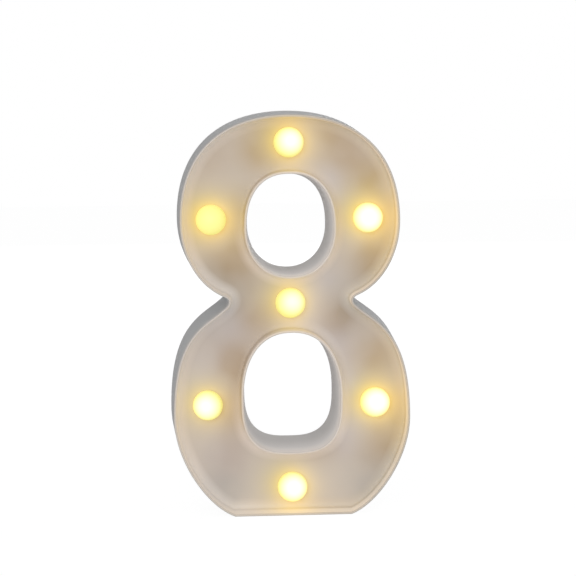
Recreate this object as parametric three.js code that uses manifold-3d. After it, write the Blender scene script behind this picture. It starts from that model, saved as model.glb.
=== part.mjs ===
// Light up marquee number: a figure 8 with seven globe bulbs, run on two AA cells.
// Millimetres, +X to the viewer's right, -Y out of the lit front, +Z up.
// The origin is the bottom centre of the whole object.
import * as THREE from 'three';
import Module from 'manifold-3d';
import { mergeVertices } from 'three/addons/utils/BufferGeometryUtils.js';

const wasm = await Module();
wasm.setup();

// Overall size
const height = 220;
const depth = 45;

// Bars across the figure: the counters share the height that the three bars leave,
// and the bottom bar is as high as the battery bay and this margin
const bottomBarMargin = 1.3;
const middleBar = 30.8;
const topBar = 31.9;
const lowerCounterShare = 0.5414;

// Upper lobe: widest point, as a share of the way from the waist to the top,
// and how its curves leave the top and the widest point
const upperHalfWidth = 59.9;
const upperWidestShare = 0.4287;
const topPullShare = 0.673;
const upperRiseShare = 0.593;
const upperFallShare = 0.457;

// Waist: the corner where both lobes would meet, beside the middle bar, and how it is rounded
const waistHalfWidth = 31.5;
const waistShare = 0.586;
const waistRounding = 5.8;
const waistUpAngle = THREE.MathUtils.degToRad(23.4);
const waistDownAngle = THREE.MathUtils.degToRad(42.7);
const waistUpPull = 14.1;
const waistDownPull = 14.5;

// Lower lobe, and the flat base, which is as long as the battery bay and this margin
const lowerHalfWidth = 64.8;
const lowerWidestShare = 0.4562;
const baseMargin = 0.62;
const lowerRiseShare = 0.738;
const lowerFallShare = 0.422;
const baseAngle = THREE.MathUtils.degToRad(20.2);
const basePull = 16.4;

// Counters, the two see-through holes: half width, where their height is split,
// and how square each half is (2 is an ellipse)
const upperCounterHalf = 23.8;
const upperSplitShare = 0.4679;
const upperSquareUp = 2.35;
const upperSquareDown = 2.12;
const lowerCounterHalf = 26.64;
const lowerSplitShare = 0.4508;
const lowerSquareUp = 2.26;
const lowerSquareDown = 2.91;

// Shell walls, and the room behind the face for the LEDs' leads and the wires
const wall = 1.8;
const draft = 1.7;
const rimWidth = 1.2;
const recessTaper = 0.7;
const faceThickness = 1.8;
const lampRoom = 11.8;

// Clearances between pieces
const clearance = 0.3;
const seatGap = 0.05;

// Back cover and its screws
const coverThickness = 2;
const bossRadius = 3.2;
const screwShankRadius = 1.1;
const screwHeadRadius = 2.6;
const screwHeadHeight = 0.85;
const screwLength = 9;
const screwTip = 1;
const crossWidth = 0.7;
const crossDepth = 0.45;
const counterboreDepth = 1;
const lobeScrewAcrossShare = 0.5548;
const lobeScrewAboveShare = 0.578;
const lobeScrewBelowShare = 0.77;
const waistScrewAcrossShare = 0.6019;
const waistScrewBelowShare = 0.329;
const baseScrewAcrossShare = 0.2192;
const baseScrewRiseShare = 0.3857;

// Hanging keyhole in the top of the cover
const keyholeRadius = 4.2;
const keyholeSlotHalf = 2.1;
const keyholeRise = 7;

// Globe bulbs: places on the face as shares of the bars that carry them
const upperSideShare = 0.532;
const lowerSideShare = 0.513;
const topBarShare = 0.527;
const middleBarShare = 0.506;
const bottomBarShare = 0.409;
const upperBulbShare = 0.5553;
const lowerBulbShare = 0.3888;
const globeRadius = 8.2;
const globeStand = 4.5;
const globeWall = 1.2;
const neckRadius = 4.8;
const neckReach = 1.6;
const barb = 0.6;
const barbLead = 0.3;

// LEDs, 5 mm round type
const ledRadius = 2.5;
const ledLength = 7.6;
const ledFlangeRadius = 2.9;
const ledFlangeThickness = 1;
const leadSpread = 1.27;
const leadHalf = 0.25;
const leadLength = 5.7;

// AA cells and their bay
const cellRadius = 7.1;
const cellLength = 50.5;
const cellNubRadius = 2.75;
const cellNubHeight = 1;
const cellEdge = 0.4;
const cellSpacing = 0.4;
const bayWall = 1.2;
const contactRoom = 5;
const doorToCell = 0.7;

// Battery contacts, tinned steel
const contactThickness = 0.5;
const contactHalfWidth = 4.5;
const contactDrop = 5.1;
const tailHalf = 1.2;
const tailReach = 2.2;
const dimpleRadius = 2.2;
const springWire = 0.6;
const springTurns = 3;
const springWideRadius = 3.7;
const springNarrowRadius = 2.4;

// Battery door: hook tabs at one end, a springy latch at the other
const tabReach = 2.5;
const tabThickness = 1.3;
const tabHalf = 2.5;
const tabShare = 0.3;
const tabNotchDepth = 3;
const latchStrip = 1.2;
const latchDepth = 8.5;
const latchHalf = 2.5;
const latchInset = 1.1;
const latchPadReach = 3.65;
const latchPadHalf = 5;
const latchNotchGap = 0.5;

// Slide switch, its pocket in the cover and its two screws
const switchAcrossShare = 0.5335;
const switchBelowBulb = 19.9;
const knobTravel = 4;
const knobHalfX = 2;
const knobHalfZ = 2.25;
const knobSink = 0.5;
const knobBaseLip = 0.65;
const knobBaseThickness = 1.8;
const knobGroove = 0.4;
const pocketDepth = 3.2;
const pocketFloor = 1.2;
const pocketWall = 1.2;
const pocketHalfX = 4.5;
const pocketHalfZ = 6.6;
const housingHalfX = 3.8;
const housingHalfZ = 7.4;
const housingDepth = 7;
const housingWellDepth = 3.8;
const earThickness = 0.9;
const earHalfX = 3;
const earReach = 2.2;
const earHoleRadius = 1;
const switchBossRadius = 2;
const switchScrewRadius = 0.7;
const switchScrewHeadRadius = 1.6;
const switchScrewHeadHeight = 1;
const switchScrewLength = 3.4;
const terminalHalf = 0.6;
const terminalThickness = 0.4;
const terminalSpacing = 4;
const terminalReach = 3;

// Wiring and the series resistor
const wireRadius = 0.6;
const hopBulgeShare = 0.13;
const waistPassShare = 0.54;
const wireOverhang = 3;
const resistorRadius = 1.2;
const resistorHalfLength = 3.15;
const resistorLeadRadius = 0.35;
const resistorLead = 3;
const resistorAside = 7.5;
const resistorBelow = 8;

// Hand-laid parts of the wires: each point as shares of the way in x, y and z
// from where the wire starts to where that part of it ends
const feedShares = [[0.165, -0.63, 0.05], [0.355, -1.05, 0.375], [0.61, -1, 0.715], [0.895, 0.02, 0.93]];
const returnShares = [[0.21, 0.52, 0.36], [0.62, 0.96, 0.8]];
const busShares = [[0.073, 0, 0.34], [0.228, 0, 0.985], [0.545, 0, 1.165]];
const linkShares = [[0.16, 0.54, -1.55], [0.72, 0.86, -1.8]];

// How finely the round shapes are stepped
const overrun = 2;
const topSteps = 12;
const upperSideSteps = 9;
const waistSteps = 4;
const lowerSideSteps = 8;
const baseSteps = 10;
const counterSteps = 40;
const floorSearchSteps = 40;
const globeSegments = 14;
const globeSteps = 6;
const cavitySteps = 3;
const ledSegments = 8;
const domeSteps = 3;
const screwSegments = 10;
const holeSegments = 12;
const cellSegments = 18;
const wireSides = 5;
const busSteps = 78;
const shortWireSteps = 12;
const curlSteps = 8;
const curlSides = 5;

// Levels along Y, from the rim at the front to the back of the cover. The cells, their bay and
// the room for the wires lie between the cover and the face, and what is left is the recess.
const front = -depth / 2;
const back = depth / 2;
const coverInside = back - coverThickness;
const cellY = coverInside - doorToCell - cellRadius;
const bayFloor = cellY - cellRadius - clearance;
const faceBack = bayFloor - bayWall - lampRoom;
const face = faceBack - faceThickness;

// Limits of the battery bay along Z and X
const bayLow = wall + clearance + bayWall;
const lowerCellZ = bayLow + clearance + cellRadius;
const upperCellZ = lowerCellZ + 2 * cellRadius + cellSpacing;
const bayHigh = upperCellZ + cellRadius + clearance;
const bayMiddle = (bayLow + bayHigh) / 2;
const bayHalf = cellLength / 2 + contactRoom;
const doorHalf = bayHalf - clearance;

// Heights of the bars and of the counters between them
const bottomBar = bayHigh + bayWall + bottomBarMargin;
const counterRoom = height - bottomBar - middleBar - topBar;
const lowerCounter = {
  half: lowerCounterHalf,
  low: bottomBar,
  high: bottomBar + lowerCounterShare * counterRoom,
  splitShare: lowerSplitShare,
  squareUp: lowerSquareUp,
  squareDown: lowerSquareDown,
};
const upperCounter = {
  half: upperCounterHalf,
  low: lowerCounter.high + middleBar,
  high: height - topBar,
  splitShare: upperSplitShare,
  squareUp: upperSquareUp,
  squareDown: upperSquareDown,
};
const counters = [upperCounter, lowerCounter];

// Places on the outline that follow from the bars and the bay
const waistZ = lowerCounter.high + waistShare * middleBar;
const lowerWidestZ = lowerWidestShare * waistZ;
const upperWidestZ = waistZ + upperWidestShare * (height - waistZ);
const baseHalfWidth = bayHalf + bayWall + baseMargin;

// Finishes: colour, roughness and metalness
const whitePlastic = { color: 0xe9e4dc, roughness: 0.42, metalness: 0 };
const frostedGlobe = { color: 0xfff3b4, roughness: 0.35, metalness: 0 };
const clearLed = { color: 0xfff0c8, roughness: 0.15, metalness: 0 };
const steel = { color: 0xb9b9bb, roughness: 0.32, metalness: 1 };
const cellJacket = { color: 0x3c4650, roughness: 0.35, metalness: 0.2 };
const blackPlastic = { color: 0x1c1c1e, roughness: 0.5, metalness: 0 };
const redSleeve = { color: 0xb02a22, roughness: 0.5, metalness: 0 };
const blackSleeve = { color: 0x202022, roughness: 0.5, metalness: 0 };
const resistorBody = { color: 0xc9ab7c, roughness: 0.6, metalness: 0 };

// Six times the signed volume that one triangle closes with the origin
function tetra(p, a, b, c) {
  const u = new THREE.Vector3().fromArray(p, 3 * a);
  const v = new THREE.Vector3().fromArray(p, 3 * b);
  const w = new THREE.Vector3().fromArray(p, 3 * c);
  return u.dot(v.cross(w));
}

// A closed geometry as a solid with its faces turned outwards
function solid(geometry) {
  const bare = geometry.clone();
  bare.deleteAttribute('normal');
  bare.deleteAttribute('uv');
  const merged = mergeVertices(bare);
  const points = merged.attributes.position.array;
  const index = merged.index.array;
  const triangles = [];
  let volume = 0;
  for (let i = 0; i < index.length; i += 3) {
    const [a, b, c] = [index[i], index[i + 1], index[i + 2]];
    if (a !== b && b !== c && c !== a) {
      triangles.push([a, b, c]);
      volume += tetra(points, a, b, c);
    }
  }
  const turned = triangles.map(([a, b, c]) => (volume < 0 ? [a, c, b] : [a, b, c]));
  const mesh = new wasm.Mesh({
    numProp: 3,
    vertProperties: Float32Array.from(points),
    triVerts: Uint32Array.from(turned.flat()),
  });
  return new wasm.Manifold(mesh);
}

// A solid back as a geometry that a mesh can show
function geometryOf(shape) {
  const mesh = shape.getMesh();
  const geometry = new THREE.BufferGeometry();
  geometry.setAttribute('position', new THREE.Float32BufferAttribute(mesh.vertProperties, 3));
  geometry.setIndex(Array.from(mesh.triVerts));
  geometry.computeVertexNormals();
  return geometry;
}

// Joins rings of equal count, each a list of (x, z) points at its own y, front ring first
function loft(rings) {
  const count = rings[0].points.length;
  const places = [];
  const index = [];
  for (const ring of rings) {
    for (const p of ring.points) {
      places.push(p.x, ring.y, p.y);
    }
  }
  for (let r = 0; r + 1 < rings.length; r += 1) {
    for (let i = 0; i < count; i += 1) {
      const j = (i + 1) % count;
      const near = r * count;
      const far = near + count;
      index.push(near + i, far + i, near + j);
      index.push(near + j, far + i, far + j);
    }
  }
  cap(rings[0].points, 0, 1, index);
  cap(rings[rings.length - 1].points, (rings.length - 1) * count, -1, index);
  const geometry = new THREE.BufferGeometry();
  geometry.setAttribute('position', new THREE.Float32BufferAttribute(places, 3));
  geometry.setIndex(index);
  return solid(geometry);
}

// Fills one end ring: turn is 1 for the front end and -1 for the back end
function cap(points, offset, turn, index) {
  for (const [a, b, c] of THREE.ShapeUtils.triangulateShape(points, [])) {
    const ab = points[b].clone().sub(points[a]);
    const ac = points[c].clone().sub(points[a]);
    const anticlockwise = ab.cross(ac) * turn > 0;
    index.push(offset + a, offset + (anticlockwise ? b : c), offset + (anticlockwise ? c : b));
  }
}

// A box between two corners
function box(low, high) {
  const size = [high[0] - low[0], high[1] - low[1], high[2] - low[2]];
  const geometry = new THREE.BoxGeometry(...size);
  geometry.translate(low[0] + size[0] / 2, low[1] + size[1] / 2, low[2] + size[2] / 2);
  return solid(geometry);
}

// A round bar along Y at (x, z)
function barY(radius, yLow, yHigh, x, z, segments = holeSegments) {
  const geometry = new THREE.CylinderGeometry(radius, radius, yHigh - yLow, segments);
  geometry.translate(x, (yLow + yHigh) / 2, z);
  return solid(geometry);
}

// A round bar along X at (y, z)
function barX(radius, xLow, xHigh, y, z) {
  const geometry = new THREE.CylinderGeometry(radius, radius, xHigh - xLow, holeSegments);
  geometry.rotateZ(Math.PI / 2);
  geometry.translate((xLow + xHigh) / 2, y, z);
  return solid(geometry);
}

// A turned shape about Y, from a list of [radius, y] pairs
function turned(profile, segments) {
  const points = profile.map(([radius, y]) => new THREE.Vector2(radius, y));
  return solid(new THREE.LatheGeometry(points, segments));
}

// Points of an arc in a turned profile, from one angle to another, counted from the -Y pole
function arc(radius, centreY, from, to, steps) {
  const points = [];
  for (let i = 0; i <= steps; i += 1) {
    const angle = from + ((to - from) * i) / steps;
    points.push([Math.abs(radius * Math.sin(angle)), centreY - radius * Math.cos(angle)]);
  }
  return points;
}

// A round tube along a curve
function tube(curve, radius, sides, steps) {
  const section = new THREE.Shape();
  for (let i = 0; i < sides; i += 1) {
    const angle = (i / sides) * 2 * Math.PI;
    const [x, y] = [radius * Math.cos(angle), radius * Math.sin(angle)];
    if (i === 0) {
      section.moveTo(x, y);
    } else {
      section.lineTo(x, y);
    }
  }
  return solid(new THREE.ExtrudeGeometry(section, { extrudePath: curve, steps, bevelEnabled: false }));
}

// A value part of the way from one to another
function mix(from, to, share) {
  return from + (to - from) * share;
}

// How much the walls have spread by a level y, from the rim backwards
function spread(y) {
  return (draft * (y - front)) / depth;
}

// The curves of the right half of the figure, from the top centre down to the base corner
function outlineCurves() {
  const v = (x, z) => new THREE.Vector2(x, z);
  const waist = v(waistHalfWidth, waistZ);
  const up = v(Math.cos(waistUpAngle), Math.sin(waistUpAngle));
  const down = v(Math.cos(waistDownAngle), -Math.sin(waistDownAngle));
  const out = v(Math.cos(baseAngle), Math.sin(baseAngle));
  const above = waist.clone().addScaledVector(up, waistRounding);
  const below = waist.clone().addScaledVector(down, waistRounding);
  const base = v(baseHalfWidth, 0);
  const upperWidest = v(upperHalfWidth, upperWidestZ);
  const lowerWidest = v(lowerHalfWidth, lowerWidestZ);
  const crown = new THREE.CubicBezierCurve(
    v(0, height),
    v(topPullShare * upperHalfWidth, height),
    v(upperHalfWidth, upperWidestZ + upperRiseShare * (height - upperWidestZ)),
    upperWidest,
  );
  const upperSide = new THREE.CubicBezierCurve(
    upperWidest,
    v(upperHalfWidth, upperWidestZ - upperFallShare * (upperWidestZ - waistZ)),
    above.clone().addScaledVector(up, waistUpPull),
    above,
  );
  const notch = new THREE.QuadraticBezierCurve(above, waist, below);
  const lowerSide = new THREE.CubicBezierCurve(
    below,
    below.clone().addScaledVector(down, waistDownPull),
    v(lowerHalfWidth, lowerWidestZ + lowerRiseShare * (waistZ - lowerWidestZ)),
    lowerWidest,
  );
  const foot = new THREE.CubicBezierCurve(
    lowerWidest,
    v(lowerHalfWidth, lowerWidestZ - lowerFallShare * lowerWidestZ),
    base.clone().addScaledVector(out, basePull),
    base,
  );
  return { sides: [crown, upperSide, notch, lowerSide], foot };
}

// A point of a curve moved outwards by a distance
function offsetPoint(curve, t, grow) {
  const p = curve.getPoint(t);
  const tangent = curve.getTangent(t);
  return new THREE.Vector2(p.x - grow * tangent.y, p.y + grow * tangent.x);
}

// Where the foot curve, moved outwards by grow, comes down to the level floor
function footEnd(foot, grow, floor) {
  let [high, low] = [0, 1];
  for (let i = 0; i < floorSearchSteps; i += 1) {
    const middle = (high + low) / 2;
    if (offsetPoint(foot, middle, grow).y > floor) {
      high = middle;
    } else {
      low = middle;
    }
  }
  return high;
}

// The outline of the figure moved outwards by grow, with its base at the level floor.
// It runs anticlockwise as seen from the front.
function outline(grow, floor) {
  const { sides, foot } = outlineCurves();
  const steps = [topSteps, upperSideSteps, waistSteps, lowerSideSteps];
  const right = [];
  sides.forEach((curve, k) => {
    for (let i = 0; i < steps[k]; i += 1) {
      right.push(offsetPoint(curve, i / steps[k], grow));
    }
  });
  const end = footEnd(foot, grow, floor);
  for (let i = 0; i <= baseSteps; i += 1) {
    right.push(offsetPoint(foot, (end * i) / baseSteps, grow));
  }
  right[right.length - 1].y = floor;
  const flank = right.slice(1);
  const left = flank.map((p) => new THREE.Vector2(-p.x, p.y));
  return [right[0], ...left, ...flank.reverse()];
}

// The outline of a counter with its reaches made larger by grow
function counterRing(counter, grow) {
  const split = mix(counter.low, counter.high, counter.splitShare);
  const points = [];
  for (let i = 0; i < counterSteps; i += 1) {
    const angle = (i / counterSteps) * 2 * Math.PI;
    const isUpper = Math.sin(angle) >= 0;
    const reach = (isUpper ? counter.high - split : split - counter.low) + grow;
    const square = isUpper ? counter.squareUp : counter.squareDown;
    const across = Math.abs(Math.cos(angle)) / (counter.half + grow);
    const along = Math.abs(Math.sin(angle)) / reach;
    const radius = (across ** square + along ** square) ** (-1 / square);
    points.push(new THREE.Vector2(radius * Math.cos(angle), split + radius * Math.sin(angle)));
  }
  return points;
}

// Where the bulbs sit on the face, in the order in which the wiring reaches them
function bulbPlaces() {
  const upperX = mix(upperCounter.half, upperHalfWidth, upperSideShare);
  const upperBulbZ = mix(upperCounter.low, upperCounter.high, upperBulbShare);
  const lowerX = mix(lowerCounter.half, lowerHalfWidth, lowerSideShare);
  const lowerBulbZ = mix(lowerCounter.low, lowerCounter.high, lowerBulbShare);
  const topZ = mix(upperCounter.high, height, topBarShare);
  const middleZ = mix(lowerCounter.high, upperCounter.low, middleBarShare);
  const bottomZ = mix(0, lowerCounter.low, bottomBarShare);
  return [
    { name: 'bottom', x: 0, z: bottomZ },
    { name: 'lower_left', x: -lowerX, z: lowerBulbZ },
    { name: 'middle', x: 0, z: middleZ },
    { name: 'upper_left', x: -upperX, z: upperBulbZ },
    { name: 'top', x: 0, z: topZ },
    { name: 'upper_right', x: upperX, z: upperBulbZ },
    { name: 'lower_right', x: lowerX, z: lowerBulbZ },
  ];
}

// Where the cover screws go, four round the upper lobe, two below the waist, two by the base
function screwPlaces() {
  const lobeX = lobeScrewAcrossShare * upperHalfWidth;
  const baseX = mix(latchOuter(), lowerHalfWidth, baseScrewAcrossShare);
  const places = [];
  for (const side of [-1, 1]) {
    places.push({ x: side * lobeX, z: mix(upperWidestZ, height, lobeScrewAboveShare) });
    places.push({ x: side * lobeX, z: mix(upperWidestZ, waistZ, lobeScrewBelowShare) });
    places.push({
      x: side * waistScrewAcrossShare * lowerHalfWidth,
      z: mix(waistZ, lowerWidestZ, waistScrewBelowShare),
    });
    places.push({ x: side * baseX, z: baseScrewRiseShare * lowerWidestZ });
  }
  return places;
}

const bulbs = bulbPlaces();
const screws = screwPlaces();

// Where the switch sits, below the lower right bulb, and the resistor beside it
const lowerRight = bulbs.find((bulb) => bulb.name === 'lower_right');
const switchX = mix(lowerCounter.half, lowerHalfWidth, switchAcrossShare);
const switchZ = lowerRight.z - switchBelowBulb;
const resistorX = switchX - resistorAside;
const resistorZ = switchZ - resistorBelow;

// Levels of the globes, LEDs and wires behind the face
const neckEnd = faceThickness + neckReach;
const ledSeat = face + neckEnd + seatGap;
const leadTip = ledSeat + ledFlangeThickness + leadLength;
const wireY = leadTip + clearance + wireRadius;

// Levels of the switch
const pocketOutside = back - pocketDepth;
const pocketInside = pocketOutside - pocketFloor;
const housingTop = pocketInside - seatGap;
const wellFloor = housingTop - housingWellDepth;
const earScrewReach = pocketHalfZ + pocketWall + switchBossRadius + clearance;

// The front shell: outer walls, rim, recessed face, counter walls and screw bosses in one moulding
function frontShell() {
  const block = loft([
    { points: outline(0, 0), y: front },
    { points: outline(draft, 0), y: back },
  ]);
  const recessInset = rimWidth + recessTaper;
  const tray = loft([
    { points: outline(-rimWidth, rimWidth), y: front - overrun },
    { points: outline(-rimWidth, rimWidth), y: front },
    { points: outline(spread(face) - recessInset, recessInset), y: face },
  ]);
  const cavity = loft([
    { points: outline(spread(faceBack) - wall, wall), y: faceBack },
    { points: outline(draft - wall, wall), y: back },
    { points: outline(draft - wall, wall), y: back + overrun },
  ]);
  let shell = block.subtract(tray).subtract(cavity);
  for (const counter of counters) {
    shell = shell.add(counterWall(counter, recessInset)).subtract(counterHole(counter));
  }
  for (const screw of screws) {
    const bossEnd = coverInside - seatGap;
    const pilotStart = coverInside - screwLength - clearance;
    const pilotRadius = screwShankRadius + clearance / 2;
    shell = shell.add(barY(bossRadius, face + faceThickness / 2, bossEnd, screw.x, screw.z));
    shell = shell.subtract(barY(pilotRadius, pilotStart, bossEnd + overrun, screw.x, screw.z));
  }
  for (const bulb of bulbs) {
    const radius = neckRadius + clearance;
    shell = shell.subtract(barY(radius, face - overrun, faceBack + overrun, bulb.x, bulb.z, globeSegments));
  }
  return shell;
}

// The wall round a counter, before the counter itself is cut
function counterWall(counter, recessInset) {
  return loft([
    { points: counterRing(counter, rimWidth), y: front },
    { points: counterRing(counter, recessInset - spread(face)), y: face },
    { points: counterRing(counter, wall - spread(faceBack)), y: faceBack },
    { points: counterRing(counter, wall - draft), y: back },
  ]);
}

// The see-through space of a counter, which narrows towards the back
function counterHole(counter) {
  return loft([
    { points: counterRing(counter, 0), y: front - overrun },
    { points: counterRing(counter, 0), y: front },
    { points: counterRing(counter, -draft), y: back },
    { points: counterRing(counter, -draft), y: back + overrun },
  ]);
}

// The back cover: a plate round the counters, with the battery bay, switch pocket and keyhole
function backCover() {
  const inset = spread(coverInside) - wall - clearance;
  let cover = loft([
    { points: outline(inset, wall + clearance), y: coverInside },
    { points: outline(inset, wall + clearance), y: back },
  ]);
  for (const counter of counters) {
    const ring = counterRing(counter, wall - spread(coverInside) + clearance);
    cover = cover.subtract(loft([
      { points: ring, y: coverInside - overrun },
      { points: ring, y: back + overrun },
    ]));
  }
  cover = cover.add(bayBlock()).add(switchBlock());
  cover = cover.subtract(bayHollow()).subtract(switchHollow());
  for (const screw of screws) {
    const bore = screwShankRadius + clearance;
    const sink = screwHeadRadius + clearance;
    cover = cover.subtract(barY(bore, coverInside - overrun, back + overrun, screw.x, screw.z));
    cover = cover.subtract(barY(sink, back - counterboreDepth, back + overrun, screw.x, screw.z));
  }
  return cover.subtract(keyhole());
}

// The walls that the battery bay adds inside the cover
function bayBlock() {
  return box(
    [-bayHalf - bayWall, bayFloor - bayWall, bayLow - bayWall],
    [bayHalf + bayWall, coverInside + coverThickness / 2, bayHigh + bayWall],
  );
}

// What is open in the battery bay: the bay, the latch's and tabs' notches and the contact slots
function bayHollow() {
  let hollow = box([-bayHalf, bayFloor, bayLow], [bayHalf, back + overrun, bayHigh]);
  const wallOutside = bayHalf + bayWall + overrun;
  const latchLevel = back - latchDepth - clearance;
  const legHalf = latchHalf + clearance;
  hollow = hollow.add(box(
    [bayHalf - overrun, latchLevel, bayMiddle - legHalf],
    [wallOutside, coverInside, bayMiddle + legHalf],
  ));
  const padHalf = latchPadHalf + clearance;
  hollow = hollow.add(box(
    [bayHalf - overrun, coverInside - clearance, bayMiddle - padHalf],
    [latchOuter() + latchNotchGap, back + overrun, bayMiddle + padHalf],
  ));
  for (const z of tabCentres()) {
    hollow = hollow.add(box(
      [-wallOutside, coverInside - tabNotchDepth, z - tabHalf - clearance],
      [overrun - bayHalf, coverInside, z + tabHalf + clearance],
    ));
  }
  for (const tail of contactTails()) {
    const [xLow, xHigh] = contactPlane(tail.side);
    hollow = hollow.add(box(
      [xLow - clearance, bayFloor - bayWall - overrun, tail.z - tailHalf - clearance],
      [xHigh + clearance, bayFloor + overrun, tail.z + tailHalf + clearance],
    ));
  }
  return hollow;
}

// The heights of the door's two hook tabs
function tabCentres() {
  const reach = tabShare * (bayHigh - bayLow);
  return [bayMiddle - reach, bayMiddle + reach];
}

// How far out the latch's pad ends
function latchOuter() {
  return bayHalf + bayWall + latchNotchGap + latchPadReach;
}

// The contacts that have a solder tail: a side of the bay, 1 for right, and a height
function contactTails() {
  return [{ side: 1, z: lowerCellZ }, { side: 1, z: upperCellZ }];
}

// The two faces of a contact plate, as low and high X
function contactPlane(side) {
  const near = side * (bayHalf - clearance - contactThickness);
  const far = side * (bayHalf - clearance);
  return [Math.min(near, far), Math.max(near, far)];
}

// The walls that the switch pocket and its screws add inside the cover
function switchBlock() {
  const halfX = pocketHalfX + pocketWall;
  const halfZ = pocketHalfZ + pocketWall;
  const rootY = coverInside + coverThickness / 2;
  let block = box(
    [switchX - halfX, pocketInside, switchZ - halfZ],
    [switchX + halfX, rootY, switchZ + halfZ],
  );
  for (const side of [-1, 1]) {
    const z = switchZ + side * earScrewReach;
    block = block.add(barY(switchBossRadius, pocketInside, rootY, switchX, z));
  }
  return block;
}

// What is open in the switch pocket: the pocket, the knob's slot and the screws' pilot holes
function switchHollow() {
  let hollow = box(
    [switchX - pocketHalfX, pocketOutside, switchZ - pocketHalfZ],
    [switchX + pocketHalfX, back + overrun, switchZ + pocketHalfZ],
  );
  const slotHalfX = knobHalfX + clearance;
  const slotHalfZ = knobHalfZ + knobTravel / 2 + clearance;
  hollow = hollow.add(box(
    [switchX - slotHalfX, pocketInside - overrun, switchZ - slotHalfZ],
    [switchX + slotHalfX, pocketOutside + overrun, switchZ + slotHalfZ],
  ));
  for (const side of [-1, 1]) {
    const z = switchZ + side * earScrewReach;
    const radius = switchScrewRadius + clearance / 2;
    const pilotEnd = pocketInside + switchScrewLength;
    hollow = hollow.add(barY(radius, pocketInside - overrun, pilotEnd, switchX, z));
  }
  return hollow;
}

// The keyhole that hangs the number on a wall screw
function keyhole() {
  const top = bulbs.find((bulb) => bulb.name === 'top');
  const low = top.z - keyholeRise / 2;
  const high = low + keyholeRise;
  const [from, to] = [coverInside - overrun, back + overrun];
  const round = barY(keyholeRadius, from, to, 0, low);
  const slot = box([-keyholeSlotHalf, from, low], [keyholeSlotHalf, to, high]);
  const end = barY(keyholeSlotHalf, from, to, 0, high);
  return round.add(slot).add(end);
}

// The battery door: a plate with two hook tabs at the left and a U-shaped latch at the right
function batteryDoor() {
  const [low, high] = [bayLow + clearance, bayHigh - clearance];
  let door = box([-doorHalf, coverInside, low], [doorHalf, back, high]);
  const tabTop = coverInside - clearance;
  for (const z of tabCentres()) {
    door = door.add(box(
      [-doorHalf - tabReach, tabTop - tabThickness, z - tabHalf],
      [-doorHalf + tabThickness, tabTop, z + tabHalf],
    ));
    door = door.add(box(
      [-doorHalf, tabTop - tabThickness, z - tabHalf],
      [-doorHalf + tabThickness, coverInside + coverThickness / 2, z + tabHalf],
    ));
  }
  return door.add(doorLatch());
}

// The latch: down inside the bay, under the bay's edge and up again to a pad for the thumb
function doorLatch() {
  const inner = doorHalf - latchInset - latchStrip;
  const outer = bayHalf + bayWall + latchNotchGap;
  const bottom = back - latchDepth;
  const [low, high] = [bayMiddle - latchHalf, bayMiddle + latchHalf];
  const legIn = box([inner, bottom, low], [inner + latchStrip, coverInside + coverThickness / 2, high]);
  const bend = box([inner, bottom, low], [outer + latchStrip, bottom + latchStrip, high]);
  const legOut = box([outer, bottom, low], [outer + latchStrip, back - latchStrip / 2, high]);
  const pad = box(
    [outer, back - latchStrip, bayMiddle - latchPadHalf],
    [latchOuter(), back, bayMiddle + latchPadHalf],
  );
  return legIn.add(bend).add(legOut).add(pad);
}

// A hollow globe with a neck that snaps into the face; y is 0 at the face's front
function globe() {
  const inner = globeRadius - globeWall;
  const floor = -seatGap - globeWall;
  const outerEnd = Math.acos((seatGap - globeStand) / globeRadius);
  const innerEnd = Math.acos(-(floor + globeStand) / inner);
  const bore = ledRadius + clearance;
  const barbLevel = faceThickness + clearance;
  return turned([
    ...arc(globeRadius, -globeStand, 0, outerEnd, globeSteps),
    [neckRadius, -seatGap],
    [neckRadius, barbLevel],
    [neckRadius + barb, barbLevel],
    [neckRadius + barb, barbLevel + barbLead],
    [neckRadius - barb, neckEnd],
    [bore, neckEnd],
    [bore, floor],
    ...arc(inner, -globeStand, innerEnd, 0, cavitySteps),
  ], globeSegments);
}

// A 5 mm LED with its two leads; y is 0 at the front of its flange
function led() {
  const domeY = ledRadius - ledLength;
  const body = turned([
    ...arc(ledRadius, domeY, 0, Math.PI / 2, domeSteps),
    [ledRadius, 0],
    [ledFlangeRadius, 0],
    [ledFlangeRadius, ledFlangeThickness],
    [0, ledFlangeThickness],
  ], ledSegments);
  const [from, to] = [ledFlangeThickness / 2, ledFlangeThickness + leadLength];
  const lead = (x) => box([x - leadHalf, from, -leadHalf], [x + leadHalf, to, leadHalf]);
  return body.add(lead(-leadSpread)).add(lead(leadSpread));
}

// A cross-head screw; y is 0 under its head, which points to +Y
function screw(headRadius, headHeight, shankRadius, length, slotWidth, slotDepth) {
  const body = turned([
    [0, headHeight],
    [headRadius - slotDepth, headHeight],
    [headRadius, headHeight / 2],
    [headRadius, 0],
    [shankRadius, 0],
    [shankRadius, screwTip - length],
    [0, -length],
  ], screwSegments);
  const [reach, half] = [headRadius - slotWidth, slotWidth / 2];
  const [low, high] = [headHeight - slotDepth, headHeight + overrun];
  const across = box([-reach, low, -half], [reach, high, half]);
  const along = box([-half, low, -reach], [half, high, reach]);
  return body.subtract(across.add(along));
}

// An AA cell along X, with its positive nub towards the side given by turn
function cell(turn) {
  const half = cellLength / 2;
  const shoulder = half - cellNubHeight;
  const points = [
    [0, -half],
    [cellRadius - cellEdge, -half],
    [cellRadius, cellEdge - half],
    [cellRadius, shoulder - cellEdge],
    [cellRadius - cellEdge, shoulder],
    [cellNubRadius, shoulder],
    [cellNubRadius, half],
    [0, half],
  ].map(([radius, y]) => new THREE.Vector2(radius, y));
  const geometry = new THREE.LatheGeometry(points, cellSegments);
  geometry.rotateZ((-turn * Math.PI) / 2);
  return solid(geometry);
}

// A contact plate against one end wall of the bay, between two heights
function contactPlate(side, low, high) {
  const [xLow, xHigh] = contactPlane(side);
  return box([xLow, bayFloor + clearance, low], [xHigh, cellY + contactDrop, high]);
}

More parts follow.
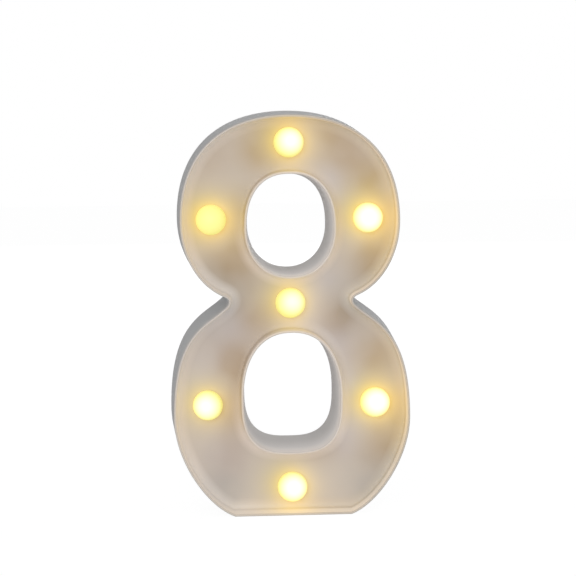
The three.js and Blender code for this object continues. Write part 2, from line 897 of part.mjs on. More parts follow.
// The solder tail that passes through the bay's floor
function contactTail(side, z) {
  const [xLow, xHigh] = contactPlane(side);
  const foot = bayFloor + clearance + overrun / 2;
  return box([xLow, bayFloor - bayWall - tailReach, z - tailHalf], [xHigh, foot, z + tailHalf]);
}

// The raised button that meets a cell's nub
function contactDimple(side, z) {
  const plate = side * (bayHalf - clearance - contactThickness / 2);
  const cellEnd = side * (cellLength / 2 + clearance);
  return barX(dimpleRadius, Math.min(plate, cellEnd), Math.max(plate, cellEnd), cellY, z);
}

// The coil that meets a cell's flat end: one unbroken wire, wide at the plate
function contactSpring(side, z) {
  const from = bayHalf - clearance - contactThickness / 2;
  const to = cellLength / 2 + clearance + springWire / 2;
  const points = [];
  for (let i = 0; i <= springTurns * curlSteps; i += 1) {
    const share = i / (springTurns * curlSteps);
    const radius = springWideRadius + (springNarrowRadius - springWideRadius) * share;
    const angle = share * springTurns * 2 * Math.PI;
    const x = side * (from + (to - from) * share);
    points.push(new THREE.Vector3(x, cellY + radius * Math.cos(angle), z + radius * Math.sin(angle)));
  }
  const least = leastSelfGap(points);
  console.log(`contact spring, least gap between its curls: ${least.toFixed(2)} mm`);
  return tube(new THREE.CatmullRomCurve3(points), springWire / 2, curlSides, springTurns * curlSteps);
}

// The least clear distance between points of the coil that are over half a turn apart
function leastSelfGap(points) {
  let least = Infinity;
  for (let i = 0; i < points.length; i += 1) {
    for (let j = i + curlSteps / 2; j < points.length; j += 1) {
      least = Math.min(least, points[i].distanceTo(points[j]) - springWire);
    }
  }
  return least;
}

// The plate and button for the lower cell's nub
function positiveContact() {
  const plate = contactPlate(1, lowerCellZ - contactHalfWidth, lowerCellZ + contactHalfWidth);
  return plate.add(contactDimple(1, lowerCellZ)).add(contactTail(1, lowerCellZ));
}

// The plate and spring for the upper cell's flat end
function negativeContact() {
  const plate = contactPlate(1, upperCellZ - contactHalfWidth, upperCellZ + contactHalfWidth);
  return plate.add(contactSpring(1, upperCellZ)).add(contactTail(1, upperCellZ));
}

// The plate that joins both cells at the door's hook end
function bridgeContact() {
  const plate = contactPlate(-1, lowerCellZ - contactHalfWidth, upperCellZ + contactHalfWidth);
  return plate.add(contactSpring(-1, lowerCellZ)).add(contactDimple(-1, upperCellZ));
}

// The switch housing with its well, ears and terminals, placed about the switch's centre
function switchBody() {
  const bottom = housingTop - housingDepth;
  const earEnd = earScrewReach + earReach;
  let body = box([-housingHalfX, bottom, -housingHalfZ], [housingHalfX, housingTop, housingHalfZ]);
  body = body.add(box([-earHalfX, housingTop - earThickness, -earEnd], [earHalfX, housingTop, earEnd]));
  const wellHalfX = knobHalfX + knobBaseLip + clearance;
  const wellHalfZ = knobHalfZ + knobBaseLip + knobTravel / 2 + clearance;
  body = body.subtract(box(
    [-wellHalfX, wellFloor, -wellHalfZ],
    [wellHalfX, housingTop + overrun, wellHalfZ],
  ));
  for (const side of [-1, 1]) {
    const z = side * earScrewReach;
    body = body.subtract(barY(earHoleRadius, bottom, housingTop + overrun, 0, z));
  }
  for (const step of [-1, 0, 1]) {
    const z = step * terminalSpacing;
    body = body.add(box(
      [-terminalHalf, bottom - terminalReach, z - terminalThickness / 2],
      [terminalHalf, bottom + terminalThickness, z + terminalThickness / 2],
    ));
  }
  return body;
}

// The sliding knob with its wider foot in the housing's well and three grooves for the finger
function switchKnob() {
  const top = back - knobSink;
  const footLow = wellFloor + clearance;
  const footX = knobHalfX + knobBaseLip;
  const footZ = knobHalfZ + knobBaseLip;
  let knob = box([-footX, footLow, -footZ], [footX, footLow + knobBaseThickness, footZ]);
  knob = knob.add(box([-knobHalfX, footLow, -knobHalfZ], [knobHalfX, top, knobHalfZ]));
  for (const step of [-1, 0, 1]) {
    const z = (step * knobHalfZ) / 2;
    knob = knob.subtract(box(
      [-footX, top - knobGroove, z - knobGroove / 2],
      [footX, top + overrun, z + knobGroove / 2],
    ));
  }
  return knob;
}

// The series resistor, standing upright with a lead at each end
function resistor() {
  const points = [
    [0, -resistorHalfLength - resistorLead],
    [resistorLeadRadius, -resistorHalfLength - resistorLead],
    [resistorLeadRadius, -resistorHalfLength],
    [resistorRadius, -resistorHalfLength],
    [resistorRadius, resistorHalfLength],
    [resistorLeadRadius, resistorHalfLength],
    [resistorLeadRadius, resistorHalfLength + resistorLead],
    [0, resistorHalfLength + resistorLead],
  ].map(([radius, y]) => new THREE.Vector2(radius, y));
  const geometry = new THREE.LatheGeometry(points, ledSegments);
  geometry.rotateX(Math.PI / 2);
  return solid(geometry);
}

// A point between two bulbs, pushed away from the counter that lies between them
function hopPoint(from, to, turn) {
  const bulge = hopBulgeShare * turn;
  const x = (from.x + to.x) / 2 + bulge * (to.z - from.z);
  const z = (from.z + to.z) / 2 - bulge * (to.x - from.x);
  return { x, z };
}

// The middle line of the wire pair, through every bulb, with the places of the bulbs in it
function ribbon() {
  const [bottom, lowerLeft, middle, upperLeft, top, upperRight] = bulbs;
  const mirrored = (p) => ({ x: -p.x, z: p.z });
  const middleToUpper = hopPoint(middle, upperLeft, -1);
  const lowerToMiddle = hopPoint(lowerLeft, middle, -1);
  const waistPass = { x: waistPassShare * waistHalfWidth, z: middle.z };
  const stops = [
    bottom, hopPoint(bottom, lowerLeft, -1), lowerLeft, lowerToMiddle, middle, middleToUpper, upperLeft,
    hopPoint(upperLeft, top, -1), top, hopPoint(top, upperRight, -1), upperRight,
    mirrored(middleToUpper), waistPass, mirrored(lowerToMiddle), lowerRight,
  ];
  const line = new THREE.CatmullRomCurve3(stops.map((p) => new THREE.Vector3(p.x, wireY, p.z)));
  return stops.map((stop, i) => {
    const t = line.getTangent(i / (stops.length - 1));
    return { name: stop.name, x: stop.x, z: stop.z, across: new THREE.Vector2(-t.z, t.x).normalize(), t };
  });
}

const stops = ribbon();

// The points of a hand-laid part of a wire, from its start up to, but without, its end
function route(start, end, shares) {
  const between = shares.map((point) => point.map((share, axis) => mix(start[axis], end[axis], share)));
  return [start, ...between];
}

// One wire of the pair: its own start, then past one lead of every LED, and a little further
function busWire(start, shares, side) {
  const entry = [stops[0].x, wireY, stops[0].z];
  const points = route(start, entry, shares).map(([x, y, z]) => new THREE.Vector3(x, y, z));
  for (const stop of stops) {
    const x = stop.x + side * leadSpread * stop.across.x;
    const z = stop.z + side * leadSpread * stop.across.y;
    points.push(new THREE.Vector3(x, wireY, z));
  }
  const last = stops[stops.length - 1];
  points.push(points[points.length - 1].clone().addScaledVector(last.t, wireOverhang));
  return tube(new THREE.CatmullRomCurve3(points), wireRadius, wireSides, busSteps);
}

// A short wire from one place to another, along its hand-laid route
function shortWire(start, end, shares) {
  const points = [...route(start, end, shares), end];
  const curve = new THREE.CatmullRomCurve3(points.map(([x, y, z]) => new THREE.Vector3(x, y, z)));
  return tube(curve, wireRadius, wireSides, shortWireSteps);
}

const part = new THREE.Group();

// Adds one named piece, moved to its place and turned about Y
function place(name, shape, finish, at = [0, 0, 0], turn = 0) {
  const mesh = new THREE.Mesh(geometryOf(shape), new THREE.MeshStandardMaterial(finish));
  mesh.name = name;
  mesh.position.set(...at);
  mesh.rotation.y = turn;
  part.add(mesh);
  return mesh;
}

place('front_shell', frontShell(), whitePlastic);
place('back_cover', backCover(), whitePlastic);
place('battery_door', batteryDoor(), whitePlastic);

const globeShape = globe();
const ledShape = led();
for (const bulb of bulbs) {
  const { across } = stops.find((stop) => stop.name === bulb.name);
  place(`globe_${bulb.name}`, globeShape, frostedGlobe, [bulb.x, face, bulb.z]);
  place(`led_${bulb.name}`, ledShape, clearLed, [bulb.x, ledSeat, bulb.z], Math.atan2(-across.y, across.x));
}

const coverScrew = screw(
  screwHeadRadius, screwHeadHeight, screwShankRadius, screwLength, crossWidth, crossDepth,
);
screws.forEach((spot, i) => {
  place(`cover_screw_${i + 1}`, coverScrew, steel, [spot.x, back - counterboreDepth + seatGap, spot.z]);
});

place('cell_lower', cell(1), cellJacket, [0, cellY, lowerCellZ]);
place('cell_upper', cell(-1), cellJacket, [0, cellY, upperCellZ]);
place('positive_contact', positiveContact(), steel);
place('negative_spring_contact', negativeContact(), steel);
place('bridge_spring_contact', bridgeContact(), steel);

place('switch_body', switchBody(), blackPlastic, [switchX, 0, switchZ]);
place('switch_knob', switchKnob(), blackPlastic, [switchX, 0, switchZ + knobTravel / 2]);

const switchScrew = screw(
  switchScrewHeadRadius, switchScrewHeadHeight, switchScrewRadius, switchScrewLength,
  crossWidth / 2, crossDepth,
);
for (const [name, side] of [['lower', -1], ['upper', 1]]) {
  const underEar = housingTop - earThickness - seatGap;
  const at = [switchX, underEar, switchZ + side * earScrewReach];
  place(`switch_screw_${name}`, switchScrew, steel, at).rotation.x = Math.PI;
}

place('resistor', resistor(), resistorBody, [resistorX, wireY, resistorZ]);

const terminalEnd = housingTop - housingDepth - terminalReach - clearance;
const tailY = bayFloor - bayWall - tailReach / 2 - clearance;
const [tailLow, tailHigh] = contactPlane(1);
const resistorEnd = resistorHalfLength + resistorLead + clearance;
const feedStart = [tailHigh + clearance, tailY, lowerCellZ];
const feedEnd = [switchX, terminalEnd, switchZ - terminalSpacing];
place('battery_feed_wire', shortWire(feedStart, feedEnd, feedShares), redSleeve);
const linkStart = [switchX, terminalEnd, switchZ];
const linkEnd = [resistorX, wireY, resistorZ + resistorEnd];
place('switch_link_wire', shortWire(linkStart, linkEnd, linkShares), redSleeve);
const busStart = [resistorX, wireY, resistorZ - resistorEnd];
place('positive_bus_wire', busWire(busStart, busShares, 1), redSleeve);
const returnStart = [tailLow - clearance, tailY, upperCellZ];
place('negative_bus_wire', busWire(returnStart, returnShares, -1), blackSleeve);

export default part;
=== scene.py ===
# Looks of the light up marquee number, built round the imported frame.
# Metres, +X to the viewer's right, -Y out of the lit front, +Z up.
import math
from itertools import zip_longest

import bmesh
import bpy
from bpy.props import FloatProperty, FloatVectorProperty, IntProperty, PointerProperty
from mathutils import Matrix, Vector
from mathutils.geometry import tessellate_polygon


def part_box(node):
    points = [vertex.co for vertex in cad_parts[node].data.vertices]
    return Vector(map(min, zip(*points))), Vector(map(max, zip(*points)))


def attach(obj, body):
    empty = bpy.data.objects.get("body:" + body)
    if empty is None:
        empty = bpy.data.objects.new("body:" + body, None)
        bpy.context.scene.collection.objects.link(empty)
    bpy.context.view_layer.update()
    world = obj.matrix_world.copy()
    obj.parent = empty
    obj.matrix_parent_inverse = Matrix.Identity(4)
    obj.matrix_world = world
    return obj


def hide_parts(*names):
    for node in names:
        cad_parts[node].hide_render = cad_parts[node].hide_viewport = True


bl_info = {
    "name": "Light Up Marquee Number",
    "version": (1, 0, 0),
    "blender": (4, 5, 0),
    "location": "View3D > Sidebar > Marquee",
    "description": "Builds the looks of a figure eight lamp with globe bulbs",
    "category": "Object",
}

MM = 0.001
DEGREE = math.pi / 180

# Masks that the meshes carry for their materials
RECESS_MASK = "recess"
# tray_side and through carry how strong the painted bounced light on the tray's walls and the painted light
# through the plastic are
SIDE_MASK = "tray_side"
THROUGH_MASK = "through"
CORE_MASK = "core"
ROUNDED_MASK = "rounded"
SUNK_SHADE_MASK = "sunk"
METAL_MASK = "bare_metal"
BAND_MASK = "band"

# Edges sharper than the first are shaded sharp, and those sharper than the second can be rounded
SHARP_EDGE = 32 * DEGREE
ROUNDED_EDGE = 40 * DEGREE
# How squarely a face looks along an axis to count as flat
FLAT_FACE = 0.9999
# How far beside a rounded edge an extra ring stands, so that the surface there stays even
SUPPORT = 0.5 * MM
# How far a cutting solid reaches past what it cuts
OVERRUN = 2 * MM
# Steps round a hole, a screw or a button
ROUND_STEPS = 40

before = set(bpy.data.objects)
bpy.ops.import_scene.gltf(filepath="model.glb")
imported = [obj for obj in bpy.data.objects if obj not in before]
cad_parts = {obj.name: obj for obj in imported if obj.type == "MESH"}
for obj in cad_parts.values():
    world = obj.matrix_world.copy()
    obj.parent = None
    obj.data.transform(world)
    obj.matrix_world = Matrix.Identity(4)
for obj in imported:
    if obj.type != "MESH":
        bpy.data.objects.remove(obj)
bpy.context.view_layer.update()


def length(name, description, millimetres):
    """A length that a user may change."""
    return FloatProperty(name=name, description=description, default=millimetres * MM, unit="LENGTH")


def angle(name, description, degrees):
    """An angle that a user may change."""
    return FloatProperty(name=name, description=description, default=degrees * DEGREE, subtype="ANGLE")


def share(name, description, value):
    """A share between two sizes, or how square a curve is."""
    return FloatProperty(name=name, description=description, default=value, precision=4)


def colour(name, description, value):
    """A colour in linear light."""
    return FloatVectorProperty(
        name=name, description=description, default=value, subtype="COLOR", size=3, min=0, max=1
    )


# The sizes of the figure, as in the part's source

class MarqueeOutline(bpy.types.PropertyGroup):
    height: length("Height", "Height of the figure at the front", 220)
    upper_half: length("Upper half width", "Half the width of the upper lobe", 59.9)
    upper_widest: length("Upper widest place", "Height of the upper lobe's widest place", 162.5)
    top_pull: share("Top pull", "How far the crown's curve leaves the top, of the half width", 0.673)
    upper_rise: share("Upper rise", "How far the crown's curve leaves the side", 0.593)
    upper_fall: share("Upper fall", "How far the side's curve runs down from the widest place", 0.457)
    waist_half: length("Waist half width", "Half the width where both lobes would meet", 31.5)
    waist: length("Waist height", "Height where both lobes would meet", 119.354)
    waist_rounding: length("Waist rounding", "How far the notch's corner is rounded", 5.8)
    waist_up_angle: angle("Waist up angle", "Slope above the notch", 23.4)
    waist_down_angle: angle("Waist down angle", "Slope below the notch", 42.7)
    waist_up_pull: length("Waist up pull", "Pull of the curve above the notch", 14.1)
    waist_down_pull: length("Waist down pull", "Pull of the curve below the notch", 14.5)
    lower_half: length("Lower half width", "Half the width of the lower lobe", 64.8)
    lower_widest: length("Lower widest place", "Height of the lower lobe's widest place", 54.45)
    base_half: length("Base half width", "Half the length of the flat base", 32.07)
    lower_rise: share("Lower rise", "How far the lower side's curve runs up", 0.738)
    lower_fall: share("Lower fall", "How far the foot's curve runs down", 0.422)
    base_angle: angle("Base angle", "Slope at which the foot leaves the base", 20.2)
    base_pull: length("Base pull", "Pull of the curve at the base", 16.4)


class MarqueeCounters(bpy.types.PropertyGroup):
    upper_half: length("Upper hole half width", "Half the width of the upper hole", 23.8)
    upper_middle: length("Upper hole middle", "Height at which the upper hole is widest", 158.305)
    upper_up: length("Upper hole up", "Reach of the upper hole above its middle", 29.795)
    upper_down: length("Upper hole down", "Reach of the upper hole below its middle", 26.2)
    upper_square_up: share("Upper hole squareness up", "2 is an ellipse", 2.35)
    upper_square_down: share("Upper hole squareness down", "2 is an ellipse", 2.12)
    lower_half: length("Lower hole half width", "Half the width of the lower hole", 26.64)
    lower_middle: length("Lower hole middle", "Height at which the lower hole is widest", 65.0)
    lower_up: length("Lower hole up", "Reach of the lower hole above its middle", 36.305)
    lower_down: length("Lower hole down", "Reach of the lower hole below its middle", 29.8)
    lower_square_up: share("Lower hole squareness up", "2 is an ellipse", 2.26)
    lower_square_down: share("Lower hole squareness down", "2 is an ellipse", 2.91)


class MarqueeShell(bpy.types.PropertyGroup):
    wall: length("Wall", "Thickness of the walls behind the face", 1.8)
    draft: length("Draft", "How much wider the back is than the front, on each side", 1.7)
    rim: length("Rim", "Width of the rim round the tray", 1.2)
    recess: length("Recess", "Depth of the tray in front of the face", 13)
    taper: length("Tray taper", "How much the tray's wall gains towards the face", 0.7)
    face_thickness: length("Face thickness", "Thickness of the face", 1.8)
    rim_round: length("Rim round", "Radius on both edges of the rim", 0.56)
    face_fillet: length("Face fillet", "Radius where the tray's wall meets the face", 2.2)
    # Spill and fade set how far the painted bulb light reaches into the outer walls and onto the face beside
    # the tray's wall
    spill: length("Spill", "How far back from the rim the bulbs' light shows in the walls", 14)
    fade: length("Fade", "Where the brighter edge of the face ends, from the tray's wall", 6)
    back_round: length("Back round", "Radius on the back edge", 0.35)
    boss_radius: length("Boss radius", "Radius of the screw bosses", 3.2)
    pilot_radius: length("Pilot radius", "Radius of the holes in the bosses", 1.25)
    pilot_depth: length("Pilot depth", "Depth of the holes in the bosses", 9.3)
    bulb_hole: length("Bulb hole radius", "Radius of the holes that hold the globes", 5.1)
    plastic: colour("Plastic", "Colour of the white moulding", (0.56, 0.555, 0.55))
    # The tray's colour is the white plastic with the bulbs' warm light painted into it
    tray: colour("Tray", "Colour of the face and the tray's walls", (0.63, 0.56, 0.49))


class MarqueeGlobes(bpy.types.PropertyGroup):
    radius: length("Globe radius", "Radius of a globe", 8.2)
    stand: length("Stand", "How far a globe's middle stands in front of the face", 4.5)
    thickness: length("Globe wall", "Wall of a globe", 1.2)
    neck_radius: length("Neck radius", "Radius of the neck in the face", 4.8)
    neck_reach: length("Neck reach", "How far the neck goes past the face", 1.6)
    barb: length("Barb", "How far the neck's snap rim stands out", 0.6)
    led_bore: length("Bore", "Radius of the bore that holds the LED", 2.8)
    frost: colour("Frost", "Colour of the frosted globe", (0.60, 0.54, 0.20))
    light: colour("Light", "Colour of the lit globe near its edge", (0.52, 0.50, 0.11))
    glow: colour("Glow", "Colour of the light on the tray", (1.0, 0.62, 0.14))


class MarqueeBack(bpy.types.PropertyGroup):
    thickness: length("Cover thickness", "Thickness of the back cover", 2)
    clearance: length("Clearance", "Gap between pieces that fit together", 0.3)
    seat_gap: length("Seat gap", "Gap between faces that rest on each other", 0.05)
    edge_round: length("Edge round", "Radius on the cover's outer edge", 0.4)
    soft_edge: length("Soft edge", "How far the other edges are softened", 0.18)
    engraving: length("Engraving", "Depth of letters, arrow and groove", 0.35)
    letter_size: length("Letter size", "Size of ON and OFF", 4.2)
    letter_gap: length("Letter gap", "From the pocket's end to the middle of the letters", 3.2)
    keyhole_radius: length("Keyhole radius", "Radius of the keyhole's round part", 4.2)
    slot_half: length("Keyhole slot half width", "Half the width of the keyhole's slot", 2.1)
    keyhole_rise: length("Keyhole rise", "How far the slot rises", 7)
    screw_head: length("Screw head radius", "Radius of a cover screw's head", 2.6)
    screw_height: length("Screw head height", "Height of a cover screw's head", 0.85)
    screw_shank: length("Screw shank radius", "Radius of a cover screw's shank", 1.1)
    screw_length: length("Screw length", "Length of a cover screw under its head", 9)
    small_head: length("Small head radius", "Radius of a switch screw's head", 1.6)
    small_height: length("Small head height", "Height of a switch screw's head", 1)
    small_shank: length("Small shank radius", "Radius of a switch screw's shank", 0.7)
    small_length: length("Small screw length", "Length of a switch screw under its head", 3.4)
    screw_bore: length("Screw bore", "Radius of the cover's screw holes", 1.4)
    screw_sink: length("Screw sink radius", "Radius of the sunk place for a head", 2.9)
    sink_depth: length("Screw sink depth", "Depth of the sunk place for a head", 1)
    bay_half: length("Bay half length", "Half the length of the battery bay", 30.25)
    bay_low: length("Bay bottom", "Height of the bay's lower side", 3.3)
    bay_high: length("Bay top", "Height of the bay's upper side", 32.7)
    bay_floor: length("Bay floor", "Level of the bay's floor along the depth", 5.3)
    bay_wall: length("Bay wall", "Thickness of the bay's walls", 1.2)
    tab_share: share("Tab share", "How far the door's tabs are from the middle, of the bay's width", 0.3)
    tab_half: length("Tab half width", "Half the width of a tab", 2.5)
    tab_notch: length("Tab notch", "Depth of the notches for the tabs", 3)
    latch_depth: length("Latch depth", "How far the latch reaches into the bay", 8.5)
    latch_half: length("Latch half width", "Half the width of the latch's strip", 2.5)
    notch_gap: length("Latch gap", "Room beside the latch", 0.5)
    pad_reach: length("Pad reach", "Width of the latch's thumb pad", 3.65)
    pad_half: length("Pad half length", "Half the length of the thumb pad", 5)
    grip_radius: length("Grip groove", "Radius of the grooves on the thumb pad", 0.32)
    arrow_inset: length("Arrow inset", "From the door's end to the arrow's tip", 3.4)
    arrow_size: length("Arrow size", "Length of the arrow head", 4.5)
    panel_inset: length("Panel inset", "From the door's edge to the groove round it", 1.6)
    panel_groove: length("Panel groove", "Width of the groove round the door", 0.5)
    pocket_half_x: length("Pocket half width", "Half the width of the switch pocket", 4.5)
    pocket_half_z: length("Pocket half height", "Half the height of the switch pocket", 6.6)
    pocket_depth: length("Pocket depth", "Depth of the switch pocket", 3.2)
    pocket_floor: length("Pocket floor", "Thickness of the pocket's floor", 1.2)
    knob_half_x: length("Knob half width", "Half the width of the switch knob", 2)
    knob_half_z: length("Knob half height", "Half the height of the switch knob", 2.25)
    knob_travel: length("Knob travel", "How far the knob slides", 4)
    switch_boss: length("Switch boss", "Radius of the posts for the switch's screws", 2)
    switch_pilot: length("Switch pilot", "Radius of the holes in those posts", 0.85)
    switch_pilot_depth: length("Switch pilot depth", "Depth of the holes in those posts", 3.4)
    cell_radius: length("Cell radius", "Radius of an AA cell", 7.1)
    cell_length: length("Cell length", "Length of an AA cell", 50.5)
    nub_radius: length("Nub radius", "Radius of a cell's nub", 2.75)
    nub_height: length("Nub height", "Height of a cell's nub", 1)
    band_length: length("Band length", "Width of the paler band at a cell's nub end", 13)
    contact_thickness: length("Contact thickness", "Thickness of the contact plates", 0.5)
    contact_half: length("Contact half width", "Half the width of a contact plate", 4.5)
    contact_drop: length("Contact drop", "How far a plate reaches past a cell's middle", 5.1)
    tail_half: length("Tail half width", "Half the width of a solder tail", 1.2)
    tail_reach: length("Tail reach", "How far a solder tail comes out of the bay", 2.2)
    button_radius: length("Button radius", "Radius of the button for a cell's nub", 1.75)
    spring_wire: length("Spring wire", "Thickness of the springs' wire", 0.6)
    spring_turns: IntProperty(name="Spring turns", description="Turns of a contact spring", default=3)
    spring_wide: length("Spring wide", "Radius of a spring at its plate", 3.7)
    spring_narrow: length("Spring narrow", "Radius of a spring at the cell", 2.4)


class MarqueeStage(bpy.types.PropertyGroup):
    camera_place: FloatVectorProperty(
        name="Camera place", description="Where the camera stands",
        default=(-59.7 * MM, -1086.6 * MM, 232.9 * MM), subtype="TRANSLATION", unit="LENGTH",
    )
    camera_yaw: angle("Camera yaw", "How far the view turns to the right", 3.12)
    camera_pitch: angle("Camera pitch", "How far the view tilts up", -5.73)
    camera_roll: angle("Camera roll", "How far the view rolls", -0.67)
    lens: FloatProperty(name="Lens", description="Focal length in millimetres", default=122.97)
    sensor: FloatProperty(name="Sensor", description="Sensor width in millimetres", default=36)
    floor_size: length("Floor size", "Width of the floor", 6000)
    room_level: FloatProperty(name="Room light", description="Mean level of the room's light", default=0.4)
    room_from: FloatVectorProperty(
        name="Room light from", description="Where the room is brighter, and by how much",
        default=(-0.12, -0.5, 0.03),
    )
    key_level: FloatProperty(name="Key light", description="Power of the key lamp in watts", default=11)
    back_level: FloatProperty(name="Back light", description="Power of the back lamp in watts", default=9)
    side_level: FloatProperty(
        name="Side light", description="Power of the lamp at the right in watts", default=6
    )


# Curves and rings of the figure

def curve_at(control, t):
    """The point and the direction of a Bezier curve."""
    points = list(control)
    while len(points) > 2:
        points = [a.lerp(b, t) for a, b in zip(points, points[1:])]
    return points[0].lerp(points[1], t), (points[1] - points[0]).normalized()


def offset_at(control, t, grow):
    """A point of the curve moved outwards."""
    point, along = curve_at(control, t)
    return Vector((point.x - grow * along.y, point.y + grow * along.x))


def outline_curves(o):
    """The curves of the right half, from the top centre down to the base corner."""
    waist = Vector((o.waist_half, o.waist))
    up = Vector((math.cos(o.waist_up_angle), math.sin(o.waist_up_angle)))
    down = Vector((math.cos(o.waist_down_angle), -math.sin(o.waist_down_angle)))
    out = Vector((math.cos(o.base_angle), math.sin(o.base_angle)))
    above = waist + up * o.waist_rounding
    below = waist + down * o.waist_rounding
    base = Vector((o.base_half, 0))
    upper = Vector((o.upper_half, o.upper_widest))
    lower = Vector((o.lower_half, o.lower_widest))
    crown = (
        Vector((0, o.height)),
        Vector((o.top_pull * o.upper_half, o.height)),
        Vector((o.upper_half, o.upper_widest + o.upper_rise * (o.height - o.upper_widest))),
        upper,
    )
    upper_side = (
        upper,
        Vector((o.upper_half, o.upper_widest - o.upper_fall * (o.upper_widest - o.waist))),
        above + up * o.waist_up_pull,
        above,
    )
    notch = (above, waist, below)
    lower_side = (
        below,
        below + down * o.waist_down_pull,
        Vector((o.lower_half, o.lower_widest + o.lower_rise * (o.waist - o.lower_widest))),
        lower,
    )
    foot = (
        lower,
        Vector((o.lower_half, o.lower_widest - o.lower_fall * o.lower_widest)),
        base + out * o.base_pull,
        base,
    )
    return (crown, upper_side, notch, lower_side), foot


OUTLINE_STEPS = (44, 34, 14, 30)
FOOT_STEPS = 38
BASE_STEPS = 24
FLOOR_SEARCHES = 40


def outline(grow, floor):
    """The outline moved outwards by grow, its base at the level floor, anticlockwise from the front."""
    sides, foot = outline_curves(bpy.context.scene.marquee_outline)
    right = [
        offset_at(curve, i / steps, grow)
        for curve, steps in zip(sides, OUTLINE_STEPS)
        for i in range(steps)
    ]
    high, low = 0, 1
    for _ in range(FLOOR_SEARCHES):
        middle = (high + low) / 2
        if offset_at(foot, middle, grow).y > floor:
            high = middle
        else:
            low = middle
    right += [offset_at(foot, high * i / FOOT_STEPS, grow) for i in range(FOOT_STEPS + 1)]
    corner = right[-1].x
    right[-1].y = floor
    base = [
        Vector((corner * (1 - 2 * (i + 1) / BASE_STEPS), floor))
        for i in range(BASE_STEPS - 1)
    ]
    left = [Vector((-p.x, p.y)) for p in right[1:]]
    return [right[0], *left, *reversed(base), *reversed(right[1:])]


COUNTER_STEPS = 144


def counter_ring(side, grow):
    """The outline of the upper or lower hole, its reaches made larger by grow."""
    c = bpy.context.scene.marquee_counters
    value = {key: getattr(c, f"{side}_{key}") for key in ("half", "middle", "up", "down")}
    squares = (getattr(c, f"{side}_square_up"), getattr(c, f"{side}_square_down"))
    ring = []
    for i in range(COUNTER_STEPS):
        turn = i / COUNTER_STEPS * 2 * math.pi
        is_upper = math.sin(turn) >= 0
        reach = (value["up"] if is_upper else value["down"]) + grow
        square = squares[0] if is_upper else squares[1]
        across = abs(math.cos(turn)) / (value["half"] + grow)
        along = abs(math.sin(turn)) / reach
        radius = (across ** square + along ** square) ** (-1 / square)
        ring.append(Vector((radius * math.cos(turn), value["middle"] + radius * math.sin(turn))))
    return ring


def circle(x, z, radius, steps):
    """A round ring about (x, z)."""
    turns = [i / steps * 2 * math.pi for i in range(steps)]
    return [Vector((x + radius * math.cos(a), z + radius * math.sin(a))) for a in turns]


# Places that follow from the frame

def middle_of(node):
    """The middle of a CAD node's box."""
    low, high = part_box(node)
    return (low + high) / 2


SCREWS = tuple(f"cover_screw_{i}" for i in range(1, 9))
SWITCH_SCREWS = ("switch_screw_lower", "switch_screw_upper")
BULBS = ("bottom", "lower_left", "middle", "upper_left", "top", "upper_right", "lower_right")
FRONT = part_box("front_shell")[0].y
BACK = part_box("front_shell")[1].y
DEPTH = BACK - FRONT


def bulb_places():
    """Each bulb's name and its place on the face as (x, z)."""
    return {name: (middle_of(f"globe_{name}").x, middle_of(f"globe_{name}").z) for name in BULBS}


def face_level():
    """The level of the face's front along Y."""
    return FRONT + bpy.context.scene.marquee_shell.recess


def spread(y):
    """How much the walls have spread by a level y."""
    return bpy.context.scene.marquee_shell.draft * (y - FRONT) / DEPTH


# Meshes

class Rings:
    """A closed mesh made of rings of points, walls between them and filled ends."""

    def __init__(self, *masks):
        self.points = []
        self.faces = []
        self.masks = {name: [] for name in masks}

    def ring(self, places, y, *values):
        """Adds a ring of (x, z) places at a level y, with its masks' values, and returns its indices."""
        start = len(self.points)
        self.points += [(p.x, y, p.y) for p in places]
        for mask, value in zip_longest(self.masks.values(), values, fillvalue=0.0):
            mask += [value(p) if callable(value) else value for p in places]
        return list(range(start, start + len(places)))

    def walls(self, rings):
        """Joins each ring to the next."""
        for near, far in zip(rings, rings[1:]):
            count = len(near)
            for i in range(count):
                j = (i + 1) % count
                self.faces.append((near[i], far[i], far[j], near[j]))

    def fill(self, rings):
        """Fills the first ring, less the others inside it."""
        loops = [[Vector((self.points[i][0], self.points[i][2], 0)) for i in ring] for ring in rings]
        indices = [i for ring in rings for i in ring]
        for triangle in tessellate_polygon(loops):
            self.faces.append(tuple(indices[i] for i in triangle))

    def tip(self, ring, place):
        """Closes a ring with a point."""
        self.points.append(tuple(place))
        for mask in self.masks.values():
            mask.append(mask[ring[0]])
        last = len(self.points) - 1
        for i, start in enumerate(ring):
            self.faces.append((start, ring[(i + 1) % len(ring)], last))

    def mesh(self, name):
        """The closed mesh, its faces turned outwards."""
        mesh = bpy.data.meshes.new(name)
        mesh.from_pydata(self.points, [], self.faces)
        for mask, values in self.masks.items():
            mesh.attributes.new(mask, "FLOAT", "POINT").data.foreach_set("value", values)
        shape = bmesh.new()
        shape.from_mesh(mesh)
        bmesh.ops.recalc_face_normals(shape, faces=shape.faces)
        shape.to_mesh(mesh)
        shape.free()
        return mesh


def smooth(mesh, sharp_edge=SHARP_EDGE, keep_flat=False):
    """Shades a mesh smooth but for its sharp edges, and if asked for the faces that look along an axis."""
    if mesh.has_custom_normals:
        mesh.attributes.remove(mesh.attributes["custom_normal"])
    mesh.set_sharp_from_angle(angle=sharp_edge)
    if keep_flat:
        is_round = [max(abs(value) for value in face.normal) < FLAT_FACE for face in mesh.polygons]
        mesh.polygons.foreach_set("use_smooth", is_round)


def face_mask(mesh, mask, test):
    """Marks the faces of a mesh that pass a test."""
    values = [float(test(face)) for face in mesh.polygons]
    mesh.attributes.new(mask, "FLOAT", "FACE").data.foreach_set("value", values)


def piece(name, mesh, body, material, replaces):
    """Puts a mesh in the scene as a piece that rides on a body, in place of CAD nodes."""
    obj = bpy.data.objects.new(name, mesh)
    bpy.context.scene.collection.objects.link(obj)
    mesh.materials.clear()
    mesh.materials.append(material)
    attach(obj, body)
    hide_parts(*replaces)


